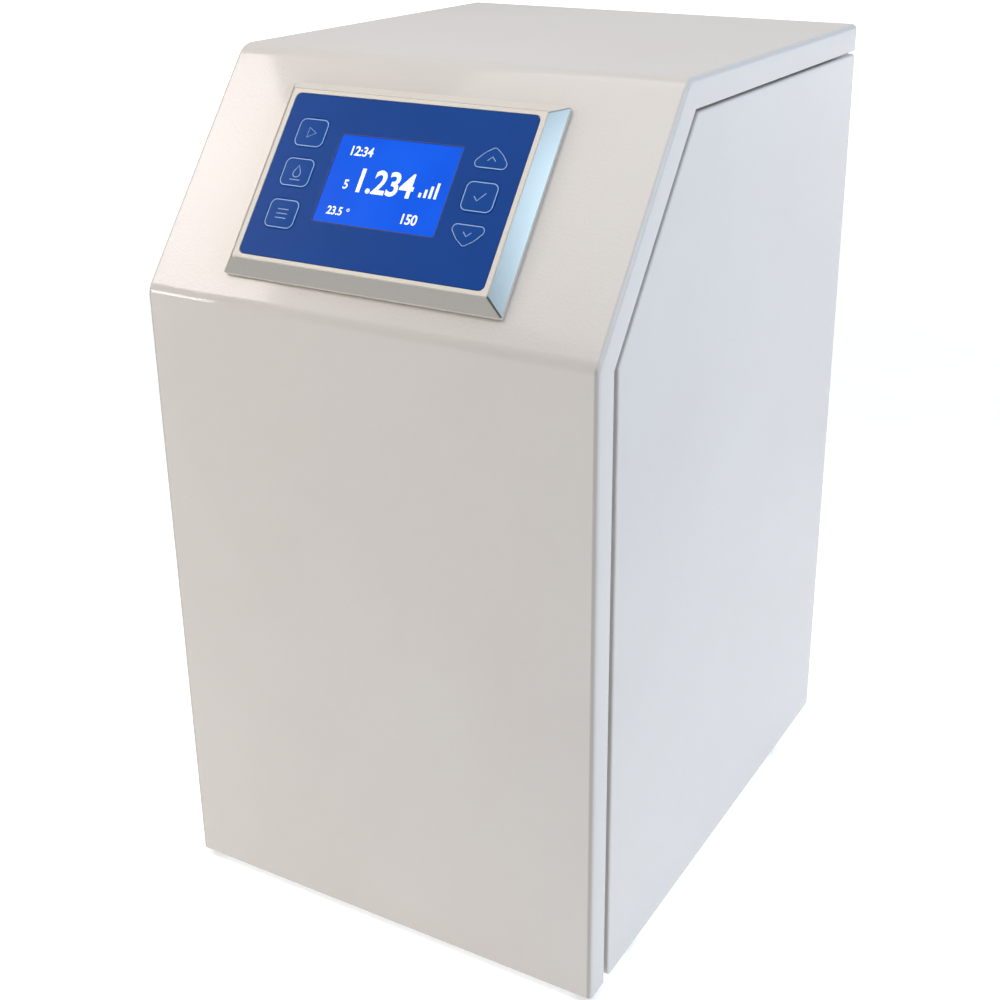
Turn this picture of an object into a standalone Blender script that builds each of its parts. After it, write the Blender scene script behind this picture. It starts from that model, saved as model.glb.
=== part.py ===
"""Bench-top water purification system: a folded sheet-metal case with tilt-out service panels,
a raised keypad display on its sloping face, and the hydraulics and electrics that it holds.

Metres, +Z up, the front faces -Y, origin on the floor under the middle of the case.
"""

import math

import bpy
import bmesh
from mathutils import Matrix, Vector

for item in list(bpy.data.objects):
    bpy.data.objects.remove(item, do_unlink=True)

# Case, driving sizes
CASE_WIDTH = 0.290
CASE_DEPTH = 0.364
CASE_HEIGHT = 0.512
SLOPE_RISE = 0.126
SLOPE_RUN = 0.098
FOOT_HEIGHT = 0.005
SHEET = 0.0015
PANEL_SHEET = 0.0012
SEAT_GAP = 0.0003
OVERRUN = 0.010
WELD = 0.0005

# Folds of the front and top shell
BEND_RADIUS = 0.014
EDGE_RADIUS = 0.003
FLANGE_DEPTH = 0.0175
LIP_WIDTH = 0.012

# Gaps round the side panels
PANEL_GAP_FRONT = 0.0045
PANEL_GAP_SLOPE = 0.0030
PANEL_GAP_TOP = 0.0013
PANEL_FOLD = 0.010
PANEL_CORNER = 0.004
CHASSIS_GAP = 0.0025

# Side panel pivots and catches
PIVOT_RISE = 0.005
PIVOT_PIN_RADIUS = 0.002
PIVOT_PIN_LENGTH = 0.0055
PIVOT_LUG_LENGTH = 0.003
PIVOT_LUG_HALF = 0.0025
PIVOT_EAR_THICK = 0.002
PIVOT_EAR_HALF = 0.0040
PIVOT_NOTCH_HALF = 0.008
PIVOT_FRONT_INSET = 0.057
PIVOT_REAR_INSET = 0.067
CATCH_FRONT_INSET = 0.132
CATCH_REAR_INSET = 0.052
CATCH_DROP = 0.045
CATCH_INSET = 0.028
CATCH_SHEET = 0.0015
CATCH_LEG = 0.012
CATCH_WIDTH = 0.014
BALL_RADIUS = 0.003
BALL_REACH = 0.009
STUD_RADIUS = 0.0015

# Base pan, rear panel, middle plate
PAN_LIP = 0.020
REAR_RECESS = 0.0205
MID_PLATE_X = 0.005
MID_PLATE_FRONT_GAP = 0.030
MID_PLATE_TOP_GAP = 0.006
MID_PLATE_FOOT = 0.016
HOSE_WINDOW_RADIUS = 0.014
HOSE_WINDOW_SHIFT = 0.035
HOSE_WINDOW_RISE = 0.012
SLOT_LENGTH = 0.070
SLOT_HEIGHT = 0.004
SLOT_PITCH = 0.010
SLOT_COUNT = 8
SLOT_INSET = 0.0625
SLOT_DROP = 0.117
SLOT_END_SHARE = 0.45

# Feet
FOOT_RADIUS = 0.013
FOOT_TAPER = 0.001
FOOT_INSET_X = 0.0255
FOOT_FRONT_INSET = 0.086
FOOT_REAR_INSET = 0.080

# Display frame on the slope, measured across (u), up the slope from the bend (v) and outward (n)
BEZEL_WIDTH = 0.179
BEZEL_LENGTH = 0.120
BEZEL_HEIGHT = 0.010
BEZEL_U = -0.0040
BEZEL_V = 0.0764
BEZEL_BEVEL = 0.0075
BEZEL_CORNER = 0.0012
OVERLAY_WIDTH = 0.157
OVERLAY_LENGTH = 0.099
OVERLAY_CORNER = 0.0035
OVERLAY_THICK = 0.0008
OVERLAY_SINK = 0.0001
LEDGE_SHARE = 0.023
WINDOW_STEP = 0.005
BOARD_THICK = 0.0016
LCD_U = -0.0034
LCD_V = 0.07765
LCD_WIDTH = 0.078
LCD_LENGTH = 0.052
LCD_BODY_EDGE = 0.007
LCD_DEPTH = 0.0087
LCD_GLASS = 0.0016
LCD_CORNER = 0.001

# Keys, centred at (u, v) on the slope
KEY_WIDTH = 0.0205
KEY_LENGTH = 0.018
KEY_CORNER = 0.0044
KEY_PROUD = 0.0003
KEY_THICK = 0.0018
KEY_CROWN = 0.0004
KEY_TRAVEL = 0.0005
KEY_FIT = 0.0003
ARROW_WIDTH = 0.0208
ARROW_LENGTH = 0.0130
ARROW_CORNER = 0.0030
ARROW_TIP = 0.0016
ARROW_BULGE = 0.0011
ARROW_BULGE_SHARE = 0.45
ARROW_BULGE_RADIUS = 0.010
LEFT_KEYS_U = -0.063
RIGHT_KEYS_U = 0.0548
LEFT_KEYS_V = (0.1023, 0.0779, 0.0527)
UP_KEY_V = 0.0995
SELECT_KEY_V = 0.0769
DOWN_KEY_V = 0.0547

# Cartridges and their head, in the right bay
CARTRIDGE_RADIUS = 0.038
CARTRIDGE_NECK = 0.019
CARTRIDGE_NECK_LENGTH = 0.014
CARTRIDGE_BOTTOM = 0.060
CARTRIDGE_CLEARANCE = 0.0065
CARTRIDGE_COUNT = 3
CARTRIDGE_SPACE_SHARE = 4 / 33
CARTRIDGE_ROW_OFFSET = 0.00525
HEAD_BOTTOM_DROP = 0.149
HEAD_HEIGHT = 0.030
HEAD_MARGIN = 0.004
HEAD_WEB = 0.006
HEAD_DROP = 0.018
BORE_FIT = 0.0004

# Reverse-osmosis vessel, in the left bay
VESSEL_RADIUS = 0.032
VESSEL_REACH = 0.0467
VESSEL_INSET = 0.087
VESSEL_BOTTOM = 0.030
VESSEL_LENGTH = 0.300
VESSEL_CAP_RADIUS = 0.034
VESSEL_CAP_HEIGHT = 0.022
CLIP_WALL = 0.003
CLIP_HEIGHT = 0.016
CLIP_HALF = 0.015
CLIP_ARC = 140.0
CLIP_SHARES = (0.25, 0.80)

# Booster pump
PUMP_INSET = 0.0445
PUMP_Z = 0.048
MOTOR_RADIUS = 0.024
MOTOR_WALL = 0.002
MOTOR_LENGTH = 0.062
MOTOR_FRONT = 0.020
ROTOR_RADIUS = 0.018
ROTOR_SHAFT = 0.003
ROTOR_LENGTH = 0.046
PUMP_HEAD_WIDTH = 0.062
PUMP_HEAD_LENGTH = 0.050
CRADLE_LENGTH = 0.030
CRADLE_WIDTH = 0.044
CRADLE_WRAP_SHARE = 0.95

# Power supply, valves, switch and cell
SUPPLY_SIZE = (0.038, 0.100, 0.160)
SUPPLY_INSET = 0.0815
SUPPLY_BOTTOM_DROP = 0.197
VALVE_REACH = 0.030
VALVE_WIDTH = 0.040
VALVE_BLOCK = 0.022
VALVE_COIL = 0.028
VALVE_COIL_HEIGHT = 0.034
VALVE_INSET = 0.0715
INLET_VALVE_DROP = 0.170
FLUSH_VALVE_DROP = 0.090
PLUNGER_RADIUS = 0.005
PLUNGER_KNOB = 0.008
PLUNGER_LENGTH = 0.030
PLUNGER_STROKE = 0.0015
SWITCH_RADIUS = 0.014
SWITCH_LENGTH = 0.034
SWITCH_INSET = 0.1015
SWITCH_DROP = 0.040
CELL_RADIUS = 0.008
CELL_LENGTH = 0.040
CELL_NUT_SHARE = 1.4

# Power inlet in the rear panel
INLET_INSET = 0.0545
INLET_DROP = 0.097
INLET_WIDTH = 0.050
INLET_HEIGHT = 0.068
INLET_FLANGE = 0.002
INLET_EDGE = 0.003
INLET_DEPTH = 0.030
SOCKET_WIDTH = 0.0245
SOCKET_HEIGHT = 0.017
SOCKET_DEPTH = 0.016
SOCKET_DROP = 0.018
PIN_SIZE = (0.002, 0.013, 0.004)
PIN_SPREAD = 0.007
DRAWER_WIDTH = 0.024
DRAWER_HEIGHT = 0.008
DRAWER_DEPTH = 0.020
DRAWER_TRAVEL = 0.016
ROCKER_WIDTH = 0.020
ROCKER_RADIUS = 0.0085
ROCKER_RISE = 0.0195
ROCKER_ANGLE = 9.0
ROCKER_SINK = 0.0030
ROCKER_FACE_SHARES = (4 / 3, 1 / 3)
ROCKER_REACH_SHARE = 0.92

# Push-fit ports in the rear panel
HOSE_RADIUS = 0.0032
PERMEATE_CLIMB_SHARE = 5 / 6
PORT_LEVEL = 0.080
PORT_RADIUS = 0.009
PORT_FLANGE_RADIUS = 0.012
PORT_FLANGE = 0.003
PORT_BARREL = 0.007
PORT_OUT = 0.0145
PORT_IN = 0.022
COLLET_RADIUS = 0.0058
COLLET_BORE = 0.0034
COLLET_LENGTH = 0.009
COLLET_PROUD = 0.002
COLLET_TRAVEL = 0.0012
FEED_INSET = 0.0225
DRAIN_INSET = 0.0625
PRODUCT_REACH = 0.025

# Places worked out from the sizes above
FRONT = -CASE_DEPTH / 2
REAR = CASE_DEPTH / 2
SIDE = CASE_WIDTH / 2
BOTTOM = FOOT_HEIGHT
TOP = FOOT_HEIGHT + CASE_HEIGHT
BEND = TOP - SLOPE_RISE
SLOPE_ANGLE = math.atan2(SLOPE_RISE, SLOPE_RUN)
CHASSIS_SIDE = SIDE - PANEL_FOLD - CHASSIS_GAP
PAN_TOP = BOTTOM + SHEET
REAR_SHEET = REAR - REAR_RECESS
PIVOT_X = SIDE - PIVOT_RISE
PIVOT_Z = BOTTOM + PIVOT_RISE
CATCH_Z = TOP - CATCH_DROP
BALL_X = SIDE - CATCH_INSET + BALL_REACH
MID_FACE = MID_PLATE_X - SEAT_GAP
MID_RIGHT_FACE = MID_PLATE_X + SHEET + SEAT_GAP
PIVOT_PLACES = (FRONT + PIVOT_FRONT_INSET, REAR - PIVOT_REAR_INSET)
CATCH_PLACES = (FRONT + CATCH_FRONT_INSET, REAR - CATCH_REAR_INSET)
SLOT_X = CHASSIS_SIDE - SLOT_INSET
SLOT_Z = TOP - SLOT_DROP
CARTRIDGE_X = CHASSIS_SIDE - CARTRIDGE_CLEARANCE - CARTRIDGE_RADIUS
HEAD_BOTTOM = TOP - HEAD_BOTTOM_DROP
HEAD_TOP = HEAD_BOTTOM + HEAD_HEIGHT
VESSEL_X = MID_FACE - VESSEL_REACH
VESSEL_Y = FRONT + VESSEL_INSET
VESSEL_CAP_TOP = VESSEL_BOTTOM + VESSEL_LENGTH + SEAT_GAP + VESSEL_CAP_HEIGHT
HOSE_WINDOW_Y = VESSEL_Y + HOSE_WINDOW_SHIFT
HOSE_WINDOW_Z = max(HEAD_TOP, VESSEL_CAP_TOP) + HOSE_WINDOW_RISE
PUMP_X = PUMP_INSET - CHASSIS_SIDE
SUPPLY_Y = REAR_SHEET - SUPPLY_INSET
SUPPLY_BOTTOM = TOP - SUPPLY_BOTTOM_DROP
VALVE_Y = REAR_SHEET - VALVE_INSET
VALVE_LEVELS = (SUPPLY_BOTTOM - INLET_VALVE_DROP, SUPPLY_BOTTOM - FLUSH_VALVE_DROP)
SWITCH_Y = REAR_SHEET - SWITCH_INSET
SWITCH_Z = VALVE_LEVELS[0] - SWITCH_DROP
INLET_X = INLET_INSET - CHASSIS_SIDE
INLET_Z = TOP - INLET_DROP
PORT_PLACES = {
    "feed": FEED_INSET - CHASSIS_SIDE,
    "drain": DRAIN_INSET - CHASSIS_SIDE,
    "product": MID_PLATE_X + PRODUCT_REACH,
}


def finish(name, colour, roughness, metallic=0.0):
    """A plain Principled material."""
    material = bpy.data.materials.new(name)
    material.use_nodes = True
    shader = material.node_tree.nodes["Principled BSDF"]
    shader.inputs["Base Color"].default_value = (*colour, 1.0)
    shader.inputs["Roughness"].default_value = roughness
    shader.inputs["Metallic"].default_value = metallic
    return material


PAINT = finish("cream_paint", (0.68, 0.64, 0.58), 0.45)
STEEL = finish("zinc_steel", (0.55, 0.56, 0.57), 0.40, 0.9)
SATIN = finish("satin_frame", (0.60, 0.58, 0.53), 0.38, 0.2)
BLUE = finish("blue_membrane", (0.015, 0.07, 0.28), 0.30)
SCREEN = finish("screen_blue", (0.0, 0.09, 0.85), 0.12)
RUBBER = finish("black_rubber", (0.02, 0.02, 0.02), 0.80)
BLACK = finish("black_moulding", (0.03, 0.03, 0.03), 0.45)
WHITE = finish("white_plastic", (0.80, 0.81, 0.80), 0.40)
GREY = finish("grey_plastic", (0.35, 0.37, 0.39), 0.45)
GREEN = finish("circuit_board", (0.02, 0.16, 0.07), 0.45)
BRASS = finish("brass", (0.65, 0.47, 0.20), 0.30, 1.0)
HOSE = finish("blue_hose", (0.05, 0.20, 0.60), 0.35)


def loft(name, loops, material, ring=False, place=None, smooth=False):
    """One closed solid through loops of equal point counts; a ring also joins its last loop to its first."""
    mesh = bpy.data.meshes.new(name)
    build = bmesh.new()
    rows = [[build.verts.new(point) for point in loop] for loop in loops]
    pairs = list(zip(rows, rows[1:]))
    if ring:
        pairs.append((rows[-1], rows[0]))
    for low, high in pairs:
        for i in range(len(low)):
            j = (i + 1) % len(low)
            build.faces.new((low[i], low[j], high[j], high[i]))
    if not ring:
        build.faces.new(list(reversed(rows[0])))
        build.faces.new(rows[-1])
    bmesh.ops.recalc_face_normals(build, faces=build.faces)
    build.to_mesh(mesh)
    build.free()
    mesh.materials.append(material)
    if smooth:
        mesh.shade_smooth()
        mesh.set_sharp_from_angle(angle=math.radians(35.0))
    obj = bpy.data.objects.new(name, mesh)
    bpy.context.scene.collection.objects.link(obj)
    if place is not None:
        obj.matrix_world = place
    return obj


def guide(obj):
    """Mark an object as one that only shapes others."""
    obj.hide_render = True
    obj.display_type = "WIRE"
    return obj


def shape(target, tool, operation):
    """Cut the tool out of the target, or join it on."""
    guide(tool)
    step = target.modifiers.new(tool.name, "BOOLEAN")
    step.operation = operation
    step.object = tool


def flat(points, level, axis="z"):
    """Points of a 2-D outline laid on a plane square to an axis."""
    if axis == "x":
        return [(level, a, b) for a, b in points]
    if axis == "y":
        return [(a, level, b) for a, b in points]
    return [(a, b, level) for a, b in points]


def prism(name, outline, low, high, material, axis="z", place=None):
    """An outline pushed along an axis from low to high."""
    return loft(name, [flat(outline, low, axis), flat(outline, high, axis)], material, place=place)


def block(name, low, high, material, place=None):
    """A box between two corners."""
    outline = [(low[0], low[1]), (high[0], low[1]), (high[0], high[1]), (low[0], high[1])]
    return prism(name, outline, low[2], high[2], material, place=place)


def rounded(points, radii, steps=4):
    """A closed or open run of corners, each turned into an arc of its own radius."""
    result = []
    count = len(points)
    for i, (point, radius) in enumerate(zip(points, radii)):
        here = Vector(point)
        if radius <= 0:
            result.append(tuple(here))
            continue
        back = (Vector(points[i - 1]) - here).normalized()
        ahead = (Vector(points[(i + 1) % count]) - here).normalized()
        half = back.angle(ahead) / 2
        reach = radius / math.tan(half)
        centre = here + (back + ahead).normalized() * (radius / math.sin(half))
        start = here + back * reach - centre
        sweep = math.pi - 2 * half
        turn = 1.0 if start.x * (here - centre).y - start.y * (here - centre).x > 0 else -1.0
        for step in range(steps + 1):
            angle = turn * sweep * step / steps
            spun = Vector((
                start.x * math.cos(angle) - start.y * math.sin(angle),
                start.x * math.sin(angle) + start.y * math.cos(angle),
            ))
            result.append(tuple(centre + spun))
    return result


def rounded_box(width, length, radius, centre=(0.0, 0.0), steps=3):
    """A rectangle with round corners about a centre."""
    x, y = width / 2, length / 2
    corners = [(x, -y), (x, y), (-x, y), (-x, -y)]
    points = rounded(corners, [radius] * len(corners), steps)
    return [(a + centre[0], b + centre[1]) for a, b in points]


def circle(radius, count=24, centre=(0.0, 0.0), start=0.0):
    """Points round a circle."""
    turn = 2 * math.pi / count
    return [
        (centre[0] + radius * math.cos(start + turn * i), centre[1] + radius * math.sin(start + turn * i))
        for i in range(count)
    ]


def turned(name, profile, material, count=24, ring=False, place=None):
    """A round piece about its own Z from pairs of radius and level."""
    loops = [flat(circle(radius, count), level) for radius, level in profile]
    return loft(name, loops, material, ring=ring, place=place, smooth=True)


def along(axis, x, y, z):
    """A place whose own Z points along a world axis."""
    turns = {
        "x": Matrix.Rotation(math.radians(90.0), 4, "Y"),
        "y": Matrix.Rotation(math.radians(-90.0), 4, "X"),
        "-y": Matrix.Rotation(math.radians(90.0), 4, "X"),
        "-x": Matrix.Rotation(math.radians(-90.0), 4, "Y"),
        "z": Matrix.Identity(4),
    }
    return Matrix.Translation((x, y, z)) @ turns[axis]


def side_outline(front, slope, top, rear, bottom, radii, steps=4):
    """The case's side profile with each edge moved in by its own amount, as (y, z) points."""
    lean = Vector((math.cos(SLOPE_ANGLE), math.sin(SLOPE_ANGLE)))
    inward = Vector((math.sin(SLOPE_ANGLE), -math.cos(SLOPE_ANGLE)))
    on_slope = Vector((FRONT, BEND)) + inward * slope
    y_front = FRONT + front
    z_top = TOP - top
    bend = (y_front, on_slope.y + lean.y * (y_front - on_slope.x) / lean.x)
    crown = (on_slope.x + lean.x * (z_top - on_slope.y) / lean.y, z_top)
    corners = [(y_front, BOTTOM + bottom), bend, crown, (REAR - rear, z_top), (REAR - rear, BOTTOM + bottom)]
    return rounded(corners, radii, steps)


def shell_path(inset):
    """The run of the folded sheet at one depth: up the front, over the slope and back along the top."""
    bend_radius = max(BEND_RADIUS - inset, EDGE_RADIUS / 2)
    points = side_outline(inset, inset, inset, 0.0, 0.0, (0.0, bend_radius, bend_radius, 0.0, 0.0), steps=6)
    return points[:-1]


def front_top_shell():
    """A lipped channel section swept along the side profile, with a window in the slope."""
    def corner(radius, centre, inset, outward):
        arc = []
        for step in range(4):
            angle = math.radians(90.0) * step / 3
            across, deep = radius * math.sin(angle), radius * (1 - math.cos(angle))
            arc.append((centre + across, inset + deep) if outward else (centre - across, inset + deep))
        return arc

    half = SIDE
    inner = SIDE - SHEET
    lip = SIDE - LIP_WIDTH
    inner_radius = EDGE_RADIUS - SHEET
    outer_arc = corner(EDGE_RADIUS, half - EDGE_RADIUS, 0.0, True)
    inner_arc = corner(inner_radius, inner - inner_radius, SHEET, True)
    right = outer_arc + [
        (half, FLANGE_DEPTH), (lip, FLANGE_DEPTH), (lip, FLANGE_DEPTH - SHEET), (inner, FLANGE_DEPTH - SHEET),
    ] + list(reversed(inner_arc))
    section = right + [(-x, inset) for x, inset in reversed(right)]
    paths = {inset: shell_path(inset) for _, inset in section}
    stations = len(paths[0.0])
    loops = [[(x, *paths[inset][s]) for x, inset in section] for s in range(stations)]
    shell = loft("front_top_shell", loops, PAINT)
    opening = rounded_box(window_width(1), window_length(1), OVERLAY_CORNER)
    window = prism("slope_window", opening, -OVERRUN, OVERRUN, PAINT, place=bezel_place())
    shape(shell, window, "DIFFERENCE")
    return shell


def slope_place():
    """The slope's own frame: X across, Y up the slope from the bend, Z outward."""
    return Matrix.Translation((0.0, FRONT, BEND)) @ Matrix.Rotation(SLOPE_ANGLE, 4, "X")


def window_width(step):
    """The width of the display frame's opening at its upper (0) or lower (1) step."""
    return OVERLAY_WIDTH * (1 - 2 * LEDGE_SHARE) - 2 * step * WINDOW_STEP


def window_length(step):
    """The length of the display frame's opening at its upper (0) or lower (1) step."""
    return OVERLAY_LENGTH - OVERLAY_WIDTH * 2 * LEDGE_SHARE - 2 * step * WINDOW_STEP


def pivot_outline():
    """An ear that hooks over the pivot pin from above, as (x, z) points on the right side."""
    slot = PIVOT_PIN_RADIUS + SEAT_GAP
    low = PIVOT_Z - PIVOT_PIN_RADIUS
    wall = SIDE - PANEL_SHEET + WELD
    crown = [
        (PIVOT_X + slot * math.cos(math.radians(a)), PIVOT_Z + slot * math.sin(math.radians(a)))
        for a in range(0, 181, 30)
    ]
    return [(wall, low), (PIVOT_X + slot, low)] + crown + [
        (PIVOT_X - slot, low), (PIVOT_X - PIVOT_EAR_HALF, low),
        (PIVOT_X - PIVOT_EAR_HALF, PIVOT_Z + PIVOT_EAR_HALF), (wall, PIVOT_Z + PIVOT_EAR_HALF),
    ]


def mirror_x(points, sign):
    """The same (x, z) points on the right (1) or left (-1) side."""
    return [(sign * x, z) for x, z in points]


def side_panel(side, sign):
    """A pressed tray with a folded edge all round, pivot ears at the bottom and ball studs near the top."""
    radii = (PANEL_CORNER, PANEL_CORNER, PANEL_CORNER, PANEL_CORNER, PANEL_CORNER)
    inner_radii = [radius - PANEL_SHEET for radius in radii]
    front, slope, top = (
        FLANGE_DEPTH + PANEL_GAP_FRONT, FLANGE_DEPTH + PANEL_GAP_SLOPE, FLANGE_DEPTH + PANEL_GAP_TOP,
    )
    outer = side_outline(front, slope, top, 0.0, 0.0, radii)
    t = PANEL_SHEET
    inner = side_outline(front + t, slope + t, top + t, t, t, inner_radii)
    face, back, rim = sign * SIDE, sign * (SIDE - t), sign * (SIDE - PANEL_FOLD)
    loops = [flat(outer, face, "x"), flat(outer, rim, "x"), flat(inner, rim, "x"), flat(inner, back, "x")]
    panel = loft(f"side_panel_{side}", loops, PAINT)
    pivot = Matrix.Translation((sign * PIVOT_X, 0.0, PIVOT_Z))
    panel.data.transform(pivot.inverted())
    panel.matrix_world = pivot
    for number, y in enumerate(PIVOT_PLACES, 1):
        notch = block(
            f"notch_{side}_{number}",
            (sign * (SIDE - PANEL_FOLD - OVERRUN), y - PIVOT_NOTCH_HALF, BOTTOM - OVERRUN),
            (sign * (SIDE - PANEL_SHEET - SEAT_GAP), y + PIVOT_NOTCH_HALF, BOTTOM + PANEL_SHEET + SEAT_GAP),
            PAINT,
        )
        shape(panel, notch, "DIFFERENCE")
        ear = prism(
            f"ear_{side}_{number}", mirror_x(pivot_outline(), sign), y, y + PIVOT_EAR_THICK, PAINT, axis="y",
        )
        shape(panel, ear, "UNION")
    for number, y in enumerate(CATCH_PLACES, 1):
        reach = SIDE - PANEL_SHEET - BALL_X
        ball = [
            (BALL_RADIUS * math.sin(math.radians(a)), -BALL_RADIUS * math.cos(math.radians(a)))
            for a in range(30, 151, 30)
        ]
        stem = [(STUD_RADIUS, BALL_RADIUS), (STUD_RADIUS, reach + WELD)]
        stud = turned(
            f"stud_{side}_{number}", ball + stem, STEEL, count=12,
            place=along("x" if sign > 0 else "-x", sign * BALL_X, y, CATCH_Z),
        )
        shape(panel, stud, "UNION")
    return panel


def base_pan():
    """The floor of the case: a tray with upturned edges and a pivot lug and pin at each panel ear."""
    y_low, y_high = FRONT + SHEET + SEAT_GAP, REAR_SHEET - SEAT_GAP
    width, length = 2 * CHASSIS_SIDE, y_high - y_low
    centre = (0.0, (y_low + y_high) / 2)
    outer = rounded_box(width, length, EDGE_RADIUS, centre)
    inner = rounded_box(width - 2 * SHEET, length - 2 * SHEET, EDGE_RADIUS - SHEET, centre)
    top = BOTTOM + PAN_LIP
    pan = loft(
        "base_pan",
        [flat(outer, BOTTOM), flat(outer, top), flat(inner, top), flat(inner, PAN_TOP)], STEEL,
    )
    for sign, side in ((1, "right"), (-1, "left")):
        for number, y in enumerate(PIVOT_PLACES, 1):
            start = y - SEAT_GAP - PIVOT_LUG_LENGTH
            lug = block(
                f"lug_{side}_{number}",
                (sign * (CHASSIS_SIDE - WELD), start, PIVOT_Z - PIVOT_LUG_HALF),
                (sign * (PIVOT_X + PIVOT_LUG_HALF), y - SEAT_GAP, PIVOT_Z + PIVOT_LUG_HALF), STEEL,
            )
            shape(pan, lug, "UNION")
            pin = turned(
                f"pivot_pin_{side}_{number}",
                [(PIVOT_PIN_RADIUS, -WELD), (PIVOT_PIN_RADIUS, PIVOT_PIN_LENGTH)], STEEL, count=12,
                place=along("y", sign * PIVOT_X, y - SEAT_GAP - WELD, PIVOT_Z),
            )
            shape(pan, pin, "UNION")
    return pan


def rear_panel():
    """The recessed back: a tray whose edges reach back to the case's rear, with its openings."""
    z_low, z_high = PAN_TOP + SEAT_GAP - SHEET, TOP - SHEET - SEAT_GAP
    width, height = 2 * CHASSIS_SIDE, z_high - z_low
    centre = (0.0, (z_low + z_high) / 2)
    outer = rounded_box(width, height, EDGE_RADIUS, centre)
    inner = rounded_box(width - 2 * SHEET, height - 2 * SHEET, EDGE_RADIUS - SHEET, centre)
    panel = loft(
        "rear_panel",
        [
            flat(outer, REAR_SHEET, "y"), flat(outer, REAR, "y"),
            flat(inner, REAR, "y"), flat(inner, REAR_SHEET + SHEET, "y"),
        ], PAINT,
    )
    y_low, y_high = REAR_SHEET - OVERRUN, REAR_SHEET + OVERRUN
    fit = 2 * SEAT_GAP
    width, height = inlet_body_width() + fit, inlet_body_height() + fit
    hole = rounded_box(width, height, EDGE_RADIUS, (INLET_X, INLET_Z))
    shape(panel, prism("inlet_hole", hole, y_low, y_high, PAINT, axis="y"), "DIFFERENCE")
    for name, x in PORT_PLACES.items():
        hole = circle(PORT_BARREL + SEAT_GAP, 16, (x, PORT_LEVEL))
        shape(panel, prism(f"{name}_hole", hole, y_low, y_high, PAINT, axis="y"), "DIFFERENCE")
    for number in range(SLOT_COUNT):
        z = SLOT_Z + SLOT_PITCH * (number - (SLOT_COUNT - 1) / 2)
        slot = rounded_box(SLOT_LENGTH, SLOT_HEIGHT, SLOT_HEIGHT * SLOT_END_SHARE, (SLOT_X, z), steps=2)
        shape(panel, prism(f"air_slot_{number}", slot, y_low, y_high, PAINT, axis="y"), "DIFFERENCE")
    return panel


def mid_plate():
    """The upright plate between the wet and dry bays, with a foot flange and a window for hoses."""
    front, slope, top = MID_PLATE_FRONT_GAP, MID_PLATE_FRONT_GAP, MID_PLATE_TOP_GAP
    rear, bottom = REAR_RECESS + SHEET + 2 * SEAT_GAP, SHEET + SEAT_GAP
    outline = side_outline(front, slope, top, rear, bottom, (0.0, EDGE_RADIUS, EDGE_RADIUS, 0.0, 0.0))
    plate = prism("mid_plate", outline, MID_PLATE_X, MID_PLATE_X + SHEET, STEEL, axis="x")
    y_low, y_high = FRONT + front, REAR - rear
    foot = block(
        "mid_foot",
        (MID_PLATE_X + SHEET - WELD, y_low, BOTTOM + bottom),
        (MID_PLATE_X + SHEET + MID_PLATE_FOOT, y_high, BOTTOM + bottom + SHEET), STEEL,
    )
    shape(plate, foot, "UNION")
    hole = circle(HOSE_WINDOW_RADIUS, 20, (HOSE_WINDOW_Y, HOSE_WINDOW_Z))
    x_low, x_high = MID_PLATE_X - OVERRUN, MID_PLATE_X + OVERRUN
    shape(plate, prism("hose_window", hole, x_low, x_high, STEEL, axis="x"), "DIFFERENCE")
    return plate


def panel_catch(name, sign, y):
    """A strap hung under the top sheet, ending in two jaws that grip a ball stud."""
    strap = SIDE - CATCH_INSET
    high = TOP - SHEET - SEAT_GAP
    t = CATCH_SHEET
    jaw = BALL_RADIUS + SEAT_GAP
    end = strap + CATCH_LEG
    outline = [
        (strap, CATCH_Z - jaw - t), (end, CATCH_Z - jaw - t), (end, CATCH_Z - jaw),
        (strap + t, CATCH_Z - jaw), (strap + t, CATCH_Z + jaw), (end, CATCH_Z + jaw),
        (end, CATCH_Z + jaw + t), (strap + t, CATCH_Z + jaw + t), (strap + t, high - t),
        (end, high - t), (end, high), (strap, high),
    ]
    half = CATCH_WIDTH / 2
    return prism(name, mirror_x(outline, sign), y - half, y + half, STEEL, axis="y")


def foot(name, sign, y):
    """A round rubber foot under the pan."""
    profile = [
        (FOOT_RADIUS - FOOT_TAPER, 0.0), (FOOT_RADIUS, FOOT_TAPER), (FOOT_RADIUS, FOOT_HEIGHT - SEAT_GAP),
    ]
    return turned(name, profile, RUBBER, place=along("z", sign * (SIDE - FOOT_INSET_X), y, 0.0))


def display_bezel():
    """A bevelled frame with a pocket for the keypad and a stepped opening for the boards."""
    corner = BEZEL_CORNER
    base = rounded_box(BEZEL_WIDTH, BEZEL_LENGTH, corner)
    face = rounded_box(BEZEL_WIDTH - 2 * BEZEL_BEVEL, BEZEL_LENGTH - 2 * BEZEL_BEVEL, corner)
    pocket = rounded_box(OVERLAY_WIDTH + 2 * SEAT_GAP, OVERLAY_LENGTH + 2 * SEAT_GAP, OVERLAY_CORNER)
    upper = rounded_box(window_width(0), window_length(0), OVERLAY_CORNER)
    lower = rounded_box(window_width(1), window_length(1), OVERLAY_CORNER)
    floor = overlay_back() - SEAT_GAP
    ledge = board_back() - SEAT_GAP
    levels = [
        (base, SEAT_GAP), (base, BEZEL_HEIGHT - BEZEL_BEVEL), (face, BEZEL_HEIGHT), (pocket, BEZEL_HEIGHT),
        (pocket, floor), (upper, floor), (upper, ledge), (lower, ledge), (lower, SEAT_GAP),
    ]
    loops = [flat(outline, level) for outline, level in levels]
    return loft("display_bezel", loops, SATIN, ring=True, place=bezel_place())


def bezel_place():
    """The display frame's centre on the slope."""
    return slope_place() @ Matrix.Translation((BEZEL_U, BEZEL_V, 0.0))


def overlay_back():
    """The level of the keypad's back above the slope."""
    return BEZEL_HEIGHT - OVERLAY_SINK - OVERLAY_THICK


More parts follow.
